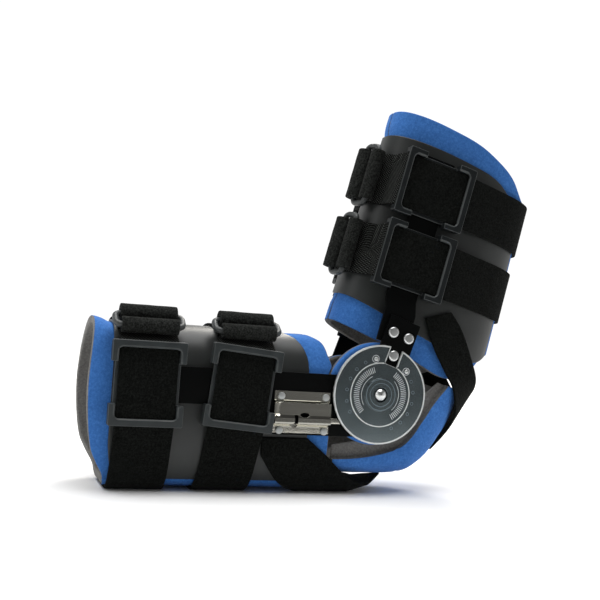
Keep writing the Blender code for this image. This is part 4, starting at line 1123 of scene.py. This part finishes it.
# The lining goes on above each rim as a thin flap
FLAP_HEIGHTS = (0.0070, 0.0080, 0.0095, 0.0110, 0.0120, 0.0120, 0.0120, 0.0115, 0.0100)
FLAP_OUT, FLAP_HALF_WALL, FLAP_FOOT = 0.0282, 0.0008, 0.0012
for word, side in (("near", -1.0), ("far", 1.0)):
    columns = []
    for i in range(65):
        row = 8.0 * i / 64
        middle_x, middle_z, rim_x, rim_z = smooth_row(PAD_ROWS, row)
        rim = Vector((rim_x, 0.0, rim_z))
        up = (rim - Vector((middle_x, 0.0, middle_z))).normalized()
        height = smooth_row([(h,) for h in FLAP_HEIGHTS], row)[0]
        column = []
        for j in range(13):
            part = j / 12
            foot = rim + up * (height * part - FLAP_FOOT * (1.0 - part))
            lean = FLAP_OUT - 0.0003 * part + 0.0003 * noise.noise(Vector((row * 1.1, part * 2.0, 4.0)))
            faces_at = (lean - FLAP_HALF_WALL, lean + FLAP_HALF_WALL)
            column.append([ELBOW + foot + Vector((0.0, side * out, 0.0)) for out in faces_at])
        columns.append(column)
    made = wall(f"elbow_pad_flap_{word}", columns, grey_lining)
    rounded(made, 0.0005)
    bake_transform(made)


# The slings. Two lengths of the same webbing that hold the pad: the lower one runs from the forearm shell under the
# elbow, and the upper one from the upper shell round the point of the elbow.
LOWER_SLING_ROWS = (
    (74.0, -0.0855, -0.0510), (62.0, -0.0845, -0.0340), (52.0, -0.0770, -0.0220), (42.0, -0.0690, -0.0090),
    (31.0, -0.0580, 0.0040), (15.0, -0.0400, 0.0150), (0.0, -0.0280, 0.0240),
)
UPPER_SLING_ROWS = (
    (0.0374, -0.0326, 0.0581, 0.0590, -0.0326, 0.0640), (0.0447, -0.0332, 0.0383, 0.0690, -0.0332, 0.0500),
    (0.0560, -0.0342, 0.0185, 0.0800, -0.0305, 0.0285), (0.0635, -0.0354, 0.0048, 0.0880, -0.0240, 0.0130),
    (0.0682, -0.0280, -0.0178, 0.0895, -0.0135, 0.0020), (0.0648, 0.0000, -0.0438, 0.0870, 0.0000, -0.0085),
)
SLING_RISE_FROM, SLING_RISE, SLING_TOP_DEG = -0.0100, 0.30, 16.0


def read_row(rows, at):
    """Values at a place in a table, whose first column rises or falls steadily."""
    rows = sorted(rows)
    if at <= rows[0][0]:
        return rows[0][1:]
    for low, high in zip(rows, rows[1:]):
        if at <= high[0]:
            part = (at - low[0]) / (high[0] - low[0])
            return tuple(a + (b - a) * part for a, b in zip(low[1:], high[1:]))
    return rows[-1][1:]


columns = []
for i in range(97):
    angle = -SLING_TOP_DEG - (180.0 - 2 * SLING_TOP_DEG) * i / 96
    low, high = read_row(LOWER_SLING_ROWS, abs(angle + 90.0))
    column = []
    for j in range(17):
        x = low + (high - low) * j / 16
        pair = []
        for out in (CLEAR, CLEAR + STRAP_WALL):
            # The forearm cuff doesn't taper, so its outline is the same everywhere
            y, z = outline(FOREARM_CUFF, FOREARM_CUFF["from"][0], angle, out)
            pair.append(Vector((ELBOW.x + x, y, ELBOW.z + z + max(0.0, x - SLING_RISE_FROM) * SLING_RISE)))
        column.append(pair)
    columns.append(column)
made = wall("lower_sling_webbing", columns, pile)
rounded(made, 0.0006, 2, 50.0)
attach(made, "forearm")
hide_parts("lower_sling")

edges = []
for i in range(41):
    row = smooth_row(UPPER_SLING_ROWS, i * 5 / 40)
    edges.append((Vector(row[:3]), Vector(row[3:])))
flip = Vector((1.0, -1.0, 1.0))
edges += [(a * flip, b * flip) for a, b in reversed(edges[:-1])]
columns = []
for i, (a, b) in enumerate(edges):
    before, after = edges[max(i - 1, 0)], edges[min(i + 1, len(edges) - 1)]
    column = []
    for j in range(13):
        part = j / 12
        here = a.lerp(b, part)
        along = after[0].lerp(after[1], part) - before[0].lerp(before[1], part)
        normal = along.cross(b - a).normalized()
        column.append([ELBOW + here, ELBOW + here + normal * STRAP_WALL])
    columns.append(column)
made = wall("upper_sling_webbing", columns, pile)
rounded(made, 0.0006, 2, 50.0)
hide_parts("upper_sling")
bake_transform(made)


# The studio. A round sheet of white paper that ends in front of the brace, a large soft light high above, smaller ones
# from the back and the left, and a room that is white round the horizon, dark overhead and behind the camera.
CAMERA_PLACE, CAMERA_LOOK = Vector((-0.2463, -0.676, 0.122)), Vector((0.3246, 0.9455, 0.0250))
CAMERA_UP = Vector((-0.0767, 0.0, 0.997))
LENS_MM, SENSOR_MM = 57.0, 36.0
paper, _ = surface("studio_paper", base_color=(0.95, 0.95, 0.95, 1.0), roughness=0.9, specular_ior_level=0.1)
bpy.ops.mesh.primitive_circle_add(vertices=96, radius=1.4, fill_type="TRIFAN", location=(0.2, 1.0, 0.0))
floor = bpy.context.active_object
floor.name = floor.data.name = "studio_floor"
floor.data.materials.append(paper)


def soft_light(name, place, aim, size, watts, colour=(1.0, 1.0, 1.0)):
    lamp = bpy.data.lights.new(name, "AREA")
    lamp.shape = "DISK"
    lamp.size, lamp.energy, lamp.color = size, watts, colour
    made = shown(name, lamp)
    made.location = place
    made.rotation_euler = (Vector(aim) - Vector(place)).to_track_quat("-Z", "Y").to_euler()


soft_light("top_light", (-0.10, -0.10, 3.0), (0.0, 0.0, 0.0), 3.4, 130.0)
soft_light("back_light", (0.9, 1.7, 2.0), (0.0, 0.0, 0.1), 1.1, 40.0, (1.0, 0.96, 0.90))
soft_light("left_light", (-1.5, -0.6, 0.9), (0.0, 0.0, 0.12), 0.5, 1.6)
world = bpy.data.worlds.new("studio_room")
bpy.context.scene.world = world
world.use_nodes = True
way = node(world, "ShaderNodeTexCoord")
parts = node(world, "ShaderNodeSeparateXYZ", [("Vector", way, "Generated")])
overhead = node(
    world, "ShaderNodeMapRange", [("Value", parts, "Z")], from_min=0.36, from_max=0.52, to_min=1.04, to_max=0.12
)
behind = node(
    world, "ShaderNodeMapRange", [("Value", parts, "Y")], from_min=-0.95, from_max=-0.15, to_min=0.14, to_max=1.0
)
strength = node(
    world, "ShaderNodeMath", [(0, overhead, "Result"), (1, behind, "Result")], own_operation="MULTIPLY"
)
background = world.node_tree.nodes["Background"]
background.inputs["Color"].default_value = (1.0, 1.0, 1.0, 1.0)
world.node_tree.links.new(strength.outputs[0], background.inputs["Strength"])

camera = shown("camera", bpy.data.cameras.new("camera"))
camera.data.lens, camera.data.sensor_width = LENS_MM, SENSOR_MM
right = CAMERA_LOOK.cross(CAMERA_UP).normalized()
up = right.cross(CAMERA_LOOK).normalized()
turn = Matrix((right, up, -CAMERA_LOOK.normalized())).transposed().to_4x4()
camera.matrix_world = Matrix.Translation(CAMERA_PLACE) @ turn
bpy.context.scene.camera = camera
bpy.context.scene.view_settings.view_transform = "Standard"
